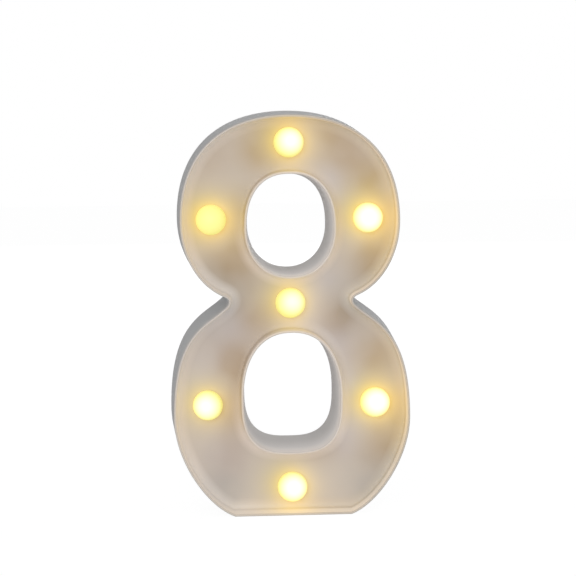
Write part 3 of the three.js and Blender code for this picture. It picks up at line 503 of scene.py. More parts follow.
def finish_node(name, material):
    """Gives a CAD node that stays its material and smooth shading."""
    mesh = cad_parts[name].data
    mesh.materials.clear()
    mesh.materials.append(material)
    mesh.polygons.foreach_set("use_smooth", [True] * len(mesh.polygons))
    mesh.set_sharp_from_angle(angle=SHARP_EDGE)


def quarter(radius, steps):
    """A quarter round as (aside, along) pairs, from (0, radius) to (radius, 0)."""
    turns = [i / steps * math.pi / 2 for i in range(steps + 1)]
    return [(radius * (1 - math.cos(a)), radius * (1 - math.sin(a))) for a in turns]


# Node groups that several materials share

def new_group(name, inputs, outputs):
    """An empty shader group with its sockets."""
    group = bpy.data.node_groups.new(name, "ShaderNodeTree")
    for label, value in inputs:
        socket = group.interface.new_socket(name=label, in_out="INPUT", socket_type="NodeSocketFloat")
        socket.default_value = value
    for label in outputs:
        group.interface.new_socket(name=label, in_out="OUTPUT", socket_type="NodeSocketFloat")
    return group, group.nodes.new("NodeGroupInput"), group.nodes.new("NodeGroupOutput")


def node(tree, kind, **settings):
    """A node of a tree with its settings."""
    made = tree.nodes.new(kind)
    for key, value in settings.items():
        setattr(made, key, value)
    return made


def feed(tree, socket, source):
    """Links a socket to another one, or sets its value."""
    if isinstance(source, bpy.types.NodeSocket):
        tree.links.new(source, socket)
    else:
        socket.default_value = source


def math_node(tree, operation, first, second=None, third=None):
    """The result of a sum on one to three values."""
    made = node(tree, "ShaderNodeMath", operation=operation)
    for place, value in enumerate((first, second, third)):
        if value is not None:
            feed(tree, made.inputs[place], value)
    return made.outputs[0]


def times(tree, first, second):
    """Two values multiplied."""
    return math_node(tree, "MULTIPLY", first, second)


def times_plus(tree, first, second, base):
    """Two values multiplied and added to a base."""
    return math_node(tree, "MULTIPLY_ADD", first, second, base)


def capped(tree, value):
    """A value held at 1 at most."""
    return math_node(tree, "MINIMUM", value, 1.0)


def ramp(tree, value, low, high, low_out=0.0, high_out=1.0):
    """A value taken smoothly from one range to another."""
    made = node(tree, "ShaderNodeMapRange", interpolation_type="SMOOTHSTEP")
    for label, source in zip(
        ("Value", "From Min", "From Max", "To Min", "To Max"), (value, low, high, low_out, high_out)
    ):
        feed(tree, made.inputs[label], source)
    return made.outputs["Result"]


def noise(tree, place, scale, detail=2.0, roughness=0.5):
    """A noise value at a place."""
    made = node(tree, "ShaderNodeTexNoise")
    feed(tree, made.inputs["Vector"], place)
    feed(tree, made.inputs["Scale"], scale)
    feed(tree, made.inputs["Detail"], detail)
    feed(tree, made.inputs["Roughness"], roughness)
    return made.outputs["Fac"]


def mix_colour(tree, amount, first, second, blend="MIX"):
    """A colour blended with a second one, by an amount."""
    made = node(tree, "ShaderNodeMix", data_type="RGBA", blend_type=blend)
    feed(tree, made.inputs[0], amount)
    for place, source in ((6, first), (7, second)):
        if not isinstance(source, bpy.types.NodeSocket):
            source = (*source, 1)
        feed(tree, made.inputs[place], source)
    return made.outputs[2]


def object_place(tree):
    """The place on the piece, in metres."""
    return node(tree, "ShaderNodeTexCoord").outputs["Object"]


def mask_value(tree, mask):
    """The value of a mask that the mesh carries."""
    return node(tree, "ShaderNodeAttribute", attribute_name=mask).outputs["Fac"]


def squared_distance(tree, place, centre, radius):
    """How far a place is from a centre, as a share of a radius, squared."""
    away = node(tree, "ShaderNodeVectorMath", operation="DISTANCE")
    feed(tree, away.inputs[0], place)
    away.inputs[1].default_value = centre
    return math_node(tree, "POWER", math_node(tree, "DIVIDE", away.outputs["Value"], radius), 2.0)


def soft_spot(tree, near):
    """1 at a centre and softly down to 0, from a squared distance."""
    return math_node(tree, "EXPONENT", times(tree, near, -1.0))


def moulded_grain_group():
    """The fine satin grain of moulded plastic, and its slow flow marks."""
    group, given, result = new_group(
        "Moulded Grain", (("Grain per metre", 2600.0), ("Flow per metre", 45.0)), ("Height", "Flow")
    )
    place = object_place(group)
    fine = noise(group, place, given.outputs["Grain per metre"], 3.0, 0.6)
    coarse = noise(group, place, given.outputs["Flow per metre"], 2.0, 0.45)
    feed(group, result.inputs["Height"], times_plus(group, fine, 0.7, coarse))
    feed(group, result.inputs["Flow"], ramp(group, coarse, 0.35, 0.65))
    return group


def edge_wear_and_highlight_group():
    """Where the rounded edges are lighter: rubbed, and lit by a painted highlight on their rounding."""
    group, given, result = new_group("Edge Wear", (("Breakup per metre", 160.0),), ("Wear",))
    breakup = noise(group, object_place(group), given.outputs["Breakup per metre"])
    patchy = ramp(group, breakup, 0.35, 0.62, 0.3, 1.0)
    feed(group, result.inputs["Wear"], times(group, mask_value(group, ROUNDED_MASK), patchy))
    return group


# How much longer scratches are than wide, and how they lie
SCRATCH_STRETCH = (1.0, 1.0, 14.0)
SCRATCH_TURN = (0.2, 0.5, 0.3)


def handling_group():
    """Faint fine scratches and a little dust from handling."""
    group, given, result = new_group(
        "Handling Marks", (("Dust per metre", 900.0), ("Scratches per metre", 120.0)), ("Dust", "Scratches")
    )
    place = object_place(group)
    dust = ramp(group, noise(group, place, given.outputs["Dust per metre"], 4.0, 0.7), 0.6, 0.75)
    stretch = node(group, "ShaderNodeMapping")
    feed(group, stretch.inputs["Vector"], place)
    stretch.inputs["Scale"].default_value = SCRATCH_STRETCH
    stretch.inputs["Rotation"].default_value = SCRATCH_TURN
    lines = noise(group, stretch.outputs["Vector"], given.outputs["Scratches per metre"], 5.0, 0.7)
    thin = ramp(group, math_node(group, "ABSOLUTE", math_node(group, "SUBTRACT", lines, 0.5)), 0.004, 0.0)
    feed(group, result.inputs["Dust"], dust)
    feed(group, result.inputs["Scratches"], thin)
    return group


# How strong each bulb's halo is
HALOS = {
    "bottom": 0.71, "lower_left": 0.58, "middle": 0.7, "upper_left": 0.97,
    "top": 0.81, "upper_right": 0.95, "lower_right": 0.95,
}
# How far to the right of a bulb and above it each kind of its light is centred, in mm
HALO_SHIFTS = {"Halo": (1.4, -0.8), "Tint": (-3.5, 2.0), "Spread": (0.0, 0.0)}


def bulb_glow_group():
    """How much bulb light reaches a place: a close halo, its yellow tint and a wide spread."""
    group, given, result = new_group(
        "Bulb Glow", (("Halo radius", 12 * MM), ("Spread radius", 15 * MM)), tuple(HALO_SHIFTS)
    )
    level = face_level() - bpy.context.scene.marquee_globes.stand
    place = object_place(group)
    totals = dict.fromkeys(HALO_SHIFTS, 0.0)
    for name, (x, z) in bulb_places().items():
        for label, (right, up) in HALO_SHIFTS.items():
            radius = given.outputs["Spread radius" if label == "Spread" else "Halo radius"]
            near = squared_distance(group, place, (x + right * MM, level, z + up * MM), radius)
            if label == "Spread":
                fade = math_node(group, "POWER", math_node(group, "ADD", near, 1.0), -2.0)
            else:
                fade = times(group, soft_spot(group, near), HALOS[name])
            totals[label] = math_node(group, "ADD", fade, totals[label])
    for label, total in totals.items():
        feed(group, result.inputs[label], total)
    return group


# Middles of the patches of painted shade and light on the face in mm, across and up, and how strong each one
# is: brown and dim are painted shade, dim in the corners and by the walls, golden and cool are painted warm
# and cool light
PAINTED_LIGHT_PATCHES = {
    "Brown": (
        (-14, 201, 0.9), (31, 203, 1.0), (-32, 137, 1.1), (46, 136, 1.1), (-19, 111, 0.9), (27, 109, 1.0),
        (-29, 80, 0.9), (-36, 92, 0.4), (44, 86, 0.8), (-35, 31, 0.7), (50, 34, 1.0), (43, 187, 0.6),
        (-31, 56, 0.7), (13, 40, 1.1), (-44, 197, 0.4),
    ),
    "Golden": (
        (-27, 167, 1.1), (-30, 146, 0.5), (46, 184, 0.9), (57, 160, 1.2), (50, 140, 0.8), (-54, 158, 0.6),
        (20, 206, 0.5), (-14, 206, 0.4), (56, 62, 0.8), (50, 84, 0.5), (58, 44, 0.8),
    ),
    "Cool": (
        (8, 111, 0.65), (27, 95, 0.5), (-32, 103, 0.5), (-46, 84, 0.4), (18, 130, 0.4), (32, 70, 0.9),
        (4, 28, 0.6), (28, 44, 0.7), (23, 182, 0.5), (-36, 32, 0.6), (-54, 68, 0.4),
    ),
    "Dim": (
        (-46, 12, 0.6), (-36, 11, 0.6), (45, 13, 1.1), (54, 27, 0.7), (-31, 122, 0.7), (31, 122, 0.8),
        (-43, 129, 0.9), (43, 131, 0.7), (-44, 108, 0.4), (34, 106, 0.5),
    ),
}


def painted_face_shade_group():
    """Painted shade and light in soft patches on the face between the bulbs, where their light is uneven."""
    group, given, result = new_group(
        "Face Patches", (("Radius", 13 * MM), ("Breakup per metre", 60.0)), tuple(PAINTED_LIGHT_PATCHES)
    )
    place = object_place(group)
    breakup = noise(group, place, given.outputs["Breakup per metre"], 1.0, 0.4)
    uneven = ramp(group, breakup, 0.3, 0.7, 0.7, 1.15)
    for label, patches in PAINTED_LIGHT_PATCHES.items():
        total = 0.0
        for x, z, strength in patches:
            near = squared_distance(group, place, (x * MM, face_level(), z * MM), given.outputs["Radius"])
            total = times_plus(group, soft_spot(group, near), strength, total)
        feed(group, result.inputs[label], times(group, total, uneven))
    return group


def place_group(tree, build, label, **values):
    """A shared group in a material, made the first time that it is asked for."""
    group = bpy.data.node_groups.get(label) or build()
    made = node(tree, "ShaderNodeGroup", node_tree=group)
    for key, value in values.items():
        feed(tree, made.inputs[key.replace("_", " ")], value)
    return made.outputs


def grain(tree, **values):
    """The moulded grain in a material."""
    return place_group(tree, moulded_grain_group, "Moulded Grain", **values)


def wear_and_highlight(tree, **values):
    """The rubbed edges and their painted highlight in a material."""
    return place_group(tree, edge_wear_and_highlight_group, "Edge Wear", **values)


def handling(tree, **values):
    """The handling marks in a material."""
    return place_group(tree, handling_group, "Handling Marks", **values)


# Materials

# How deep the fine relief of each finish is
GRAIN_DEPTH = 0.05 * MM
FROST_DEPTH = 0.03 * MM
SCRATCH_DEPTH = 0.02 * MM
JACKET_DEPTH = 0.02 * MM


def new_material(name):
    """A material with its tree and its shader."""
    material = bpy.data.materials.new(name)
    material.use_nodes = True
    tree = material.node_tree
    tree.nodes.clear()
    shader = node(tree, "ShaderNodeBsdfPrincipled")
    output = node(tree, "ShaderNodeOutputMaterial")
    tree.links.new(shader.outputs["BSDF"], output.inputs["Surface"])
    return material, tree, shader


def add_bump(tree, shader, height, strength, distance):
    """A bump that feeds the shader's normal."""
    bump = node(tree, "ShaderNodeBump")
    bump.inputs["Strength"].default_value = strength
    bump.inputs["Distance"].default_value = distance
    feed(tree, bump.inputs["Height"], height)
    feed(tree, shader.inputs["Normal"], bump.outputs["Normal"])


def tinted(tone, factors):
    """A colour with each channel multiplied by its factor."""
    return tuple(value * factor for value, factor in zip(tone, factors))


def shaded(tone, factor):
    """A colour made darker by a factor."""
    return tinted(tone, (factor, factor, factor))


# What the tray's colour is multiplied by in the patches of painted shade and light, on the tray's walls where
# painted bounced light falls, and round the bulbs where their light is painted yellow
BROWN_SHADE_TINT = (0.83, 0.735, 0.62)
PAINTED_PATCH_TINTS = {"Golden": (0.94, 0.87, 0.66), "Cool": (1.0, 1.07, 1.3), "Dim": (0.83, 0.86, 0.9)}
WALL_LIGHT_TINT = (1.02, 1.0, 0.93)
BULB_GLOW_TINT = (0.95, 0.9, 0.32)
BULB_GLOW_LEVEL = 0.88


def lit_tray_colour(tree, tray, near_side, glow):
    """The plastic of the tray with painted light: patches of painted shade and light on the face, painted
    bounced light on its walls and a painted yellow glow round the bulbs.
    """
    inside = tuple(bpy.context.scene.marquee_shell.tray)
    patches = place_group(tree, painted_face_shade_group, "Face Patches")
    brown_shade = times(tree, patches["Brown"], math_node(tree, "SUBTRACT", tray, near_side))
    base = mix_colour(tree, capped(tree, brown_shade), inside, tinted(inside, BROWN_SHADE_TINT))
    base = mix_colour(tree, near_side, base, tinted(inside, WALL_LIGHT_TINT))
    for label, tint in PAINTED_PATCH_TINTS.items():
        base = mix_colour(tree, times(tree, patches[label], tray), base, tint, "MULTIPLY")
    # The bulbs' light, painted yellow into the tray's colour round each bulb
    yellow = times(tree, times(tree, glow["Tint"], tray), BULB_GLOW_LEVEL)
    return mix_colour(tree, capped(tree, yellow), base, tinted(inside, BULB_GLOW_TINT))


# The light round the bulbs: how strong the halo, its inner part and the spread are
HALO_LEVEL = 0.4
INNER_HALO_LEVEL = 0.3
SPREAD_LEVEL = 0.1
# The light that bounces between the tray's walls, near bulbs, at the left, and through the plastic
BOUNCED_LIGHT, BOUNCED_LEVEL = (1.0, 0.9, 0.8), 0.078
AMBER_LIGHT, AMBER_LEVEL = (1.0, 0.5, 0.02), 0.2
COOL_LIGHT, COOL_LEVEL = (0.93, 0.92, 1.0), 0.19
THROUGH_LIGHT, THROUGH_LEVEL = (1.0, 0.88, 0.8), 0.18
# Where the left part begins and where it is whole, across from the middle
LEFT_FROM = 15 * MM
LEFT_WHOLE = -48 * MM
# How much of the bounced light is lost at the left, and of the cool light near bulbs
LEFT_LOSS = 0.7
NEAR_BULB_LOSS = 0.4


def shell_light(tree, tray, side, near_side, glow):
    """The light that the shell gives back, in the tray and through its plastic."""
    across = node(tree, "ShaderNodeSeparateXYZ")
    feed(tree, across.inputs[0], object_place(tree))
    left = ramp(tree, across.outputs["X"], LEFT_FROM, LEFT_WHOLE)
    halo = times(tree, glow["Halo"], tray)
    wide = times(tree, glow["Spread"], tray)
    inner = times(tree, math_node(tree, "POWER", halo, 2.0), INNER_HALO_LEVEL)
    level = times_plus(tree, halo, HALO_LEVEL, times_plus(tree, wide, SPREAD_LEVEL, inner))
    lit = mix_colour(tree, level, (0, 0, 0), tuple(bpy.context.scene.marquee_globes.glow))
    bounced = times(tree, times(tree, side, side), BOUNCED_LEVEL)
    bounced = times(tree, bounced, times_plus(tree, left, -LEFT_LOSS, 1.0))
    lit = mix_colour(tree, bounced, lit, BOUNCED_LIGHT)
    lit = mix_colour(tree, times(tree, times(tree, side, wide), AMBER_LEVEL), lit, AMBER_LIGHT)
    cool = times(tree, times(tree, near_side, left), COOL_LEVEL)
    cool = times(tree, cool, times_plus(tree, capped(tree, wide), -NEAR_BULB_LOSS, 1.0))
    lit = mix_colour(tree, cool, lit, COOL_LIGHT)
    through = times(tree, mask_value(tree, THROUGH_MASK), THROUGH_LEVEL)
    return mix_colour(tree, through, lit, THROUGH_LIGHT)


# How much dust shows on the shell, and how much less of it in the tray
SHELL_DUST = 0.12
TRAY_DUST_LOSS = 0.1


def lit_moulding_material():
    """White moulded plastic of the shell, warmed in the tray by the bulbs' light painted into its colour and
    its emission.
    """
    plastic = tuple(bpy.context.scene.marquee_shell.plastic)
    material, tree, shader = new_material("Lit white moulding")
    tray = mask_value(tree, RECESS_MASK)
    side = mask_value(tree, SIDE_MASK)
    near_side = capped(tree, side)
    glow = place_group(tree, bulb_glow_group, "Bulb Glow")
    texture = grain(tree)
    marks = handling(tree)
    base = mix_colour(tree, tray, plastic, lit_tray_colour(tree, tray, near_side, glow))
    dusty = math_node(tree, "SUBTRACT", SHELL_DUST, times(tree, tray, TRAY_DUST_LOSS))
    dust = times(tree, marks["Dust"], dusty)
    feed(tree, shader.inputs["Base Color"], mix_colour(tree, dust, base, shaded(plastic, 0.94)))
    feed(tree, shader.inputs["Emission Color"], shell_light(tree, tray, side, near_side, glow))
    shader.inputs["Emission Strength"].default_value = 1.0
    rough = times_plus(tree, texture["Flow"], 0.08, 0.7)
    feed(tree, shader.inputs["Roughness"], times_plus(tree, marks["Scratches"], -0.1, rough))
    shader.inputs["Specular IOR Level"].default_value = 0.02
    add_bump(tree, shader, texture["Height"], 0.25, GRAIN_DEPTH)
    return material


def moulding_material(name, plastic, base_rough=0.45):
    """Plain moulded plastic with grain, rubbed edges with a painted highlight, engraving floors darkened as
    painted shade, and handling marks.
    """
    material, tree, shader = new_material(name)
    texture = grain(tree)
    edge = wear_and_highlight(tree)
    marks = handling(tree)
    lighter = tuple(min(1.0, p * 1.1 + 0.01) for p in plastic)
    base = mix_colour(tree, texture["Flow"], plastic, shaded(plastic, 0.965))
    # The rounded edges are made lighter: rubbing, and a painted highlight
    base = mix_colour(tree, times(tree, edge["Wear"], 0.5), base, lighter)
    base = mix_colour(tree, times(tree, marks["Dust"], 0.15), base, lighter)
    # The floors of the engraving are darkened: painted shade in the recess
    base = mix_colour(tree, mask_value(tree, SUNK_SHADE_MASK), base, shaded(plastic, 0.68))
    feed(tree, shader.inputs["Base Color"], base)
    rough = times_plus(tree, texture["Flow"], 0.08, base_rough)
    feed(tree, shader.inputs["Roughness"], times_plus(tree, marks["Scratches"], -0.12, rough))
    add_bump(tree, shader, texture["Height"], 0.3, GRAIN_DEPTH)
    return material


def metal_material(name, tone, base_rough):
    """Plated steel with fine brushing and dulled patches."""
    material, tree, shader = new_material(name)
    marks = handling(tree, Scratches_per_metre=420.0)
    patches = ramp(tree, noise(tree, object_place(tree), 300.0, 3.0), 0.4, 0.7)
    feed(tree, shader.inputs["Base Color"], mix_colour(tree, patches, tone, shaded(tone, 0.72)))
    shader.inputs["Metallic"].default_value = 1.0
    rough = times_plus(tree, patches, 0.12, base_rough)
    feed(tree, shader.inputs["Roughness"], times_plus(tree, marks["Scratches"], 0.15, rough))
    add_bump(tree, shader, marks["Scratches"], 0.2, SCRATCH_DEPTH)
    return material


def frosted_globe_material():
    """A frosted globe lit from inside: yellow at its edge, white where the LED points."""
    g = bpy.context.scene.marquee_globes
    material, tree, shader = new_material("Frosted lit globe")
    frost = noise(tree, object_place(tree), 4200.0, 3.0, 0.7)
    base = mix_colour(tree, times(tree, frost, 0.2), tuple(g.frost), (1.0, 0.95, 0.6))
    feed(tree, shader.inputs["Base Color"], base)
    core = capped(tree, mask_value(tree, CORE_MASK))
    lit = mix_colour(tree, core, tuple(g.light), (1.0, 0.98, 0.84))
    feed(tree, shader.inputs["Emission Color"], lit)
    shader.inputs["Emission Strength"].default_value = 1.0
    feed(tree, shader.inputs["Roughness"], times_plus(tree, frost, 0.15, 0.42))
    add_bump(tree, shader, frost, 0.15, FROST_DEPTH)
    return material


# The front shell

# The share of the tray's wall, up from the face, over which the strong bounced light fades
LIT_WALL = 0.35
# How much of the light below a counter still reaches the face at its middle height
BELOW_LEAST = 0.25


def everywhere(amount):
    """The same amount all round a ring."""
    return amount


def light_from_below(side):
    """Turns an amount into one that fades up a counter, because the bulbs under it light the face there."""
    heights = [point.y for point in counter_ring(side, 0)]
    middle = (min(heights) + max(heights)) / 2
    half = max(heights) - middle
    return lambda amount: lambda place: amount * min(1.0, max(0.0, BELOW_LEAST + (middle - place.y) / half))


def wall_profile(below=everywhere):
    """(level, inset, tray, side, through) from the cavity round the back edge and the rim to the face."""
    s = bpy.context.scene.marquee_shell
    face = face_level()
    inset_face = s.rim + s.taper
    rim_arc = quarter(s.rim_round, 5)
    back_arc = quarter(s.back_round, 3)
    fillet = quarter(s.face_fillet, 9)
    front_end = FRONT + s.rim_round + SUPPORT
    foot = face - s.face_fillet - SUPPORT
    above = foot + LIT_WALL * (front_end - foot)
    inset_above = inset_face + LIT_WALL * (s.rim - inset_face)
    # The tray, side and through values carry painted bulb light: the tray's warm colour creeping onto the
    # outer wall near the rim, bounced light on the walls and light through the plastic
    lit = below(0.75)
    return [
        (face + s.face_thickness, s.wall, 0, 0, 0),
        (BACK - SUPPORT, s.wall, 0, 0, 0),
        (BACK, s.wall, 0, 0, 0.3),
        *((BACK - along, aside, 0, 0, 0.35) for aside, along in reversed(back_arc)),
        (BACK - s.back_round - SUPPORT, 0, 0, 0, 0.4),
        (FRONT + 2 * s.spill, 0, 0, 0, 0.45),
        (FRONT + s.spill, 0, 0, 0, 0.75),
        (FRONT + s.spill / 2, 0, 0.15, 0, 1.15),
        (front_end, 0, 0.5, 0.25, 1.1),
        *((FRONT + along, aside, 0.5 + 0.5 * aside / s.rim_round, 0.15, 0.55) for aside, along in rim_arc),
        *((FRONT + along, s.rim - aside, 1, 0.35, 0.75) for aside, along in reversed(rim_arc)),
        (front_end, s.rim, 1, 1.9, 0.65),
        (above, inset_above, 1, 1.8, lit),
        (foot, inset_face, 1, 0.9, lit),
        *(
            (face - along, inset_face + aside, 1, 1 - 0.4 * aside / s.face_fillet, lit)
            for aside, along in fillet
        ),
        (face, inset_face + s.face_fillet + SUPPORT, 1, 0.55, below(0.65)),
        (face, inset_face + s.fade, 1, 0, 0),
    ]


# How much of the light on the tray's outer wall is on the counters' walls in the middle, and how much
# more of it towards the right
COUNTER_LIGHT = 0.4
COUNTER_LIGHT_PER_METRE = 30.0
BULB_HOLE_STEPS = 48
BOSS_STEPS = 28


def counter_light(amount):
    """The side mask of a ring round a counter, where it is amount on the tray's outer wall."""
    return lambda place: amount * max(0.0, COUNTER_LIGHT + COUNTER_LIGHT_PER_METRE * place.x)


def shell_mesh():
    """The shell: walls, rim, tray, counters, bulb holes and screw bosses in one closed mesh."""
    s = bpy.context.scene.marquee_shell
    b = bpy.context.scene.marquee_back
    face = face_level()
    ceiling = face + s.face_thickness
    shell = Rings(RECESS_MASK, SIDE_MASK, THROUGH_MASK)
    outer = [
        shell.ring(outline(spread(y) - inset, inset), y, tray, side)
        for y, inset, tray, side, _ in wall_profile()
    ]
    shell.walls(outer)
    holes = []
    for side in ("upper", "lower"):
        rings = [
            shell.ring(counter_ring(side, inset - spread(y)), y, tray, counter_light(near), through)
            for y, inset, tray, near, through in wall_profile(light_from_below(side))
        ]
        shell.walls(rings)
        holes.append(rings)
    front_rings = [outer[-1], *(rings[-1] for rings in holes)]
    back_rings = [outer[0], *(rings[0] for rings in holes)]
    for x, z in bulb_places().values():
        wide = circle(x, z, s.bulb_hole + s.rim_round / 2, BULB_HOLE_STEPS)
        bore = circle(x, z, s.bulb_hole, BULB_HOLE_STEPS)
        rings = [
            shell.ring(wide, face, 1), shell.ring(bore, face + s.rim_round / 2), shell.ring(bore, ceiling),
        ]
        shell.walls(rings)
        front_rings.append(rings[0])
        back_rings.append(rings[-1])
    for screw in SCREWS:
        place = middle_of(screw)
        post = circle(place.x, place.z, s.boss_radius, BOSS_STEPS)
        pilot = circle(place.x, place.z, s.pilot_radius, BOSS_STEPS)
        end = BACK - b.thickness - b.seat_gap
        floor = BACK - b.thickness - s.pilot_depth
        rings = [
            shell.ring(post, ceiling), shell.ring(post, end),
            shell.ring(pilot, end), shell.ring(pilot, floor),
        ]
        shell.walls(rings)
        shell.fill([rings[-1]])
        back_rings.append(rings[0])
    shell.fill(front_rings)
    shell.fill(back_rings)
    return shell.mesh("shell_body")


class MARQUEE_OT_shell(bpy.types.Operator):
    """Builds the shell with its rim, tray and counters"""
    bl_idname = "marquee.shell"
    bl_label = "Build Shell"

    def execute(self, context):
        mesh = shell_mesh()
        smooth(mesh)
        piece("shell_body", mesh, "housing", lit_moulding_material(), ("front_shell",))
        return {"FINISHED"}


# The globes and their LEDs

GLOBE_STEPS = 72
GLOBE_ARC = 30
CAVITY_ARC = 12

# For each globe how sharp its white core is, its shift to the right and up, and its level
CORES = {
    "bottom": (1.0, 0.07, 0.10, 1.08),
    "lower_left": (1.2, -0.14, 0.06, 0.95),
    "middle": (1.5, 0.14, 0.18, 0.75),
    "upper_left": (0.4, -0.06, 0.07, 0.05),
    "top": (1.2, 0.14, 0.16, 0.97),
    "upper_right": (0.8, 0.03, 0.07, 1.1),
    "lower_right": (0.9, 0.10, 0.16, 1.12),
}


def globe_profile():
    """The globe's closed outline as (radius, level) pairs, level 0 at the face, from pole to pole."""
    g = bpy.context.scene.marquee_globes
    s = bpy.context.scene.marquee_shell
    b = bpy.context.scene.marquee_back
    inner = g.radius - g.thickness
    floor = -b.seat_gap - g.thickness
    outer_end = math.acos((b.seat_gap - g.stand) / g.radius)
    inner_end = math.acos(-(floor + g.stand) / inner)
    barb_level = s.face_thickness + b.clearance
    neck_end = s.face_thickness + g.neck_reach

    def arc(radius, start, end, steps):
        turns = [start + (end - start) * i / steps for i in range(steps + 1)]
        return [(radius * math.sin(a), -g.stand - radius * math.cos(a)) for a in turns]

    return [
        *arc(g.radius, 0, outer_end, GLOBE_ARC),
        (g.neck_radius, -b.seat_gap),
        (g.neck_radius, barb_level),
        (g.neck_radius + g.barb, barb_level),
        (g.neck_radius + g.barb, barb_level + g.barb / 2),
        (g.neck_radius - g.barb, neck_end),
        (g.led_bore, neck_end),
        (g.led_bore, floor),
        *arc(inner, inner_end, 0, CAVITY_ARC),
    ]


def core_value(direction, core):
    """How much of the white core shows at a place on the globe, 0 at its edge."""
    sharpness, right, up, level = core
    facing = direction.dot(Vector((right, -1.0, up)).normalized())
    return level * max(0.0, facing) ** (2 * sharpness)


def turned(name, profile, place, steps, mask=None, mask_of=None):
    """A turned piece about Y through a place, its profile closed at both ends on the axis."""
    shape = Rings(mask) if mask else Rings()
    rings = [
        shape.ring(circle(place.x, place.z, radius, steps), place.y + level)
        for radius, level in profile
        if radius > 0
    ]
    shape.walls(rings)
    for ring, (radius, level) in ((rings[0], profile[0]), (rings[-1], profile[-1])):
        if radius > 0:
            shape.fill([ring])
        else:
            shape.tip(ring, (place.x, place.y + level, place.z))
    if mask:
        shape.masks[mask] = [mask_of(Vector(p)) for p in shape.points]
    return shape.mesh(name)


class MARQUEE_OT_globes(bpy.types.Operator):
    """Builds the seven frosted globes"""
    bl_idname = "marquee.globes"
    bl_label = "Build Globes"

    def execute(self, context):
        g = context.scene.marquee_globes
        material = frosted_globe_material()
        for name, (x, z) in bulb_places().items():
            place = Vector((x, face_level(), z))
            middle = place - Vector((0, g.stand, 0))
            mesh = turned(
                f"frosted_globe_{name}", globe_profile(), place, GLOBE_STEPS, CORE_MASK,
                lambda p: core_value((p - middle).normalized(), CORES[name]),
            )
            smooth(mesh)
            piece(f"frosted_globe_{name}", mesh, "housing", material, (f"globe_{name}",))
        resin = moulding_material("Clear resin", (0.9, 0.8, 0.5), 0.12)
        for name in BULBS:
            finish_node(f"led_{name}", resin)
        return {"FINISHED"}


# Solids that are added to and cut from each other

# Points nearer than this become one, and faces that bend less than this become one
WELD = 0.002 * MM
LETTER_WELD = 0.001 * MM
FLAT_BEND = 0.2 * DEGREE


def solid_box(low, high):
    """A closed box between two corners, for joining and cutting."""
    low, high = Vector(low), Vector(high)
    corners = [
        (x, y, z)
        for x in (low.x, high.x) for y in (low.y, high.y) for z in (low.z, high.z)
    ]
    faces = [(0, 1, 3, 2), (4, 6, 7, 5), (0, 4, 5, 1), (2, 3, 7, 6), (0, 2, 6, 4), (1, 5, 7, 3)]
    mesh = bpy.data.meshes.new("box")
    mesh.from_pydata(corners, [], faces)
    return mesh


def box_about(x, z, half_x, half_z, low, high):
    """A closed box along Y about (x, z)."""
    return solid_box((x - half_x, low, z - half_z), (x + half_x, high, z + half_z))


def solid_column(places, low, high):
    """A closed column along Y over a ring of places."""
    column = Rings()
    rings = [column.ring(places, low), column.ring(places, high)]
    column.walls(rings)
    column.fill([rings[0]])
    column.fill([rings[1]])
    return column.mesh("column")


def solid_round(x, z, radius, low, high):
    """A closed round bar along Y."""
    return solid_column(circle(x, z, radius, ROUND_STEPS), low, high)


def evaluated(obj):
    """The mesh of an object with its modifiers applied; the object is then removed."""
    graph = bpy.context.evaluated_depsgraph_get()
    mesh = bpy.data.meshes.new_from_object(obj.evaluated_get(graph), depsgraph=graph)
    bpy.data.objects.remove(obj)
    return mesh


def work_object(data):
    """An object that lives only while a mesh is made."""
    obj = bpy.data.objects.new("work", data)
    bpy.context.scene.collection.objects.link(obj)
    return obj


def carve(mesh, cuts, joins=()):
    """A mesh after others are joined to it, and then others cut from it."""
    check_closed(mesh)
    body = work_object(mesh)
    tools = []
    steps = [("UNION", tool) for tool in joins] + [("DIFFERENCE", tool) for tool in cuts]
    for operation, tool in steps:
        check_closed(tool)
        change = body.modifiers.new(operation, "BOOLEAN")
        change.operation = operation
        change.solver = "MANIFOLD"
        change.object = work_object(tool)
        tools.append(change.object)
    result = evaluated(body)
    for tool in tools:
        bpy.data.objects.remove(tool)
    return result


def softened(mesh, width):
    """A mesh with its sharp edges rounded."""
    body = work_object(mesh)
    soften = body.modifiers.new("Soft edges", "BEVEL")
    soften.width = width
    soften.segments = 3
    soften.limit_method = "ANGLE"
    soften.angle_limit = ROUNDED_EDGE
    return evaluated(body)


def merged(name, meshes):
    """Several closed meshes in one."""
    shape = bmesh.new()
    for mesh in meshes:
        shape.from_mesh(mesh)
    whole = bpy.data.meshes.new(name)
    shape.to_mesh(whole)
    shape.free()
    return whole


def welded(node_name):
    """A copy of a CAD node's mesh as one skin with whole flat faces."""
    shape = bmesh.new()
    shape.from_mesh(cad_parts[node_name].data)
    bmesh.ops.remove_doubles(shape, verts=shape.verts, dist=WELD)
    bmesh.ops.dissolve_limit(shape, angle_limit=FLAT_BEND, verts=shape.verts, edges=shape.edges)
    mesh = bpy.data.meshes.new(node_name)
    shape.to_mesh(mesh)
    shape.free()
    return mesh


def check_closed(mesh):
    """Stops where a mesh that is to be cut isn't closed."""
    shape = bmesh.new()
    shape.from_mesh(mesh)
    open_edges = sum(not edge.is_manifold for edge in shape.edges)
    shape.free()
    if open_edges:
        raise RuntimeError(f"{mesh.name} has {open_edges} open edges")


# How much heavier the engraved letters are drawn, as a share of their size
LETTER_WEIGHT = 0.02


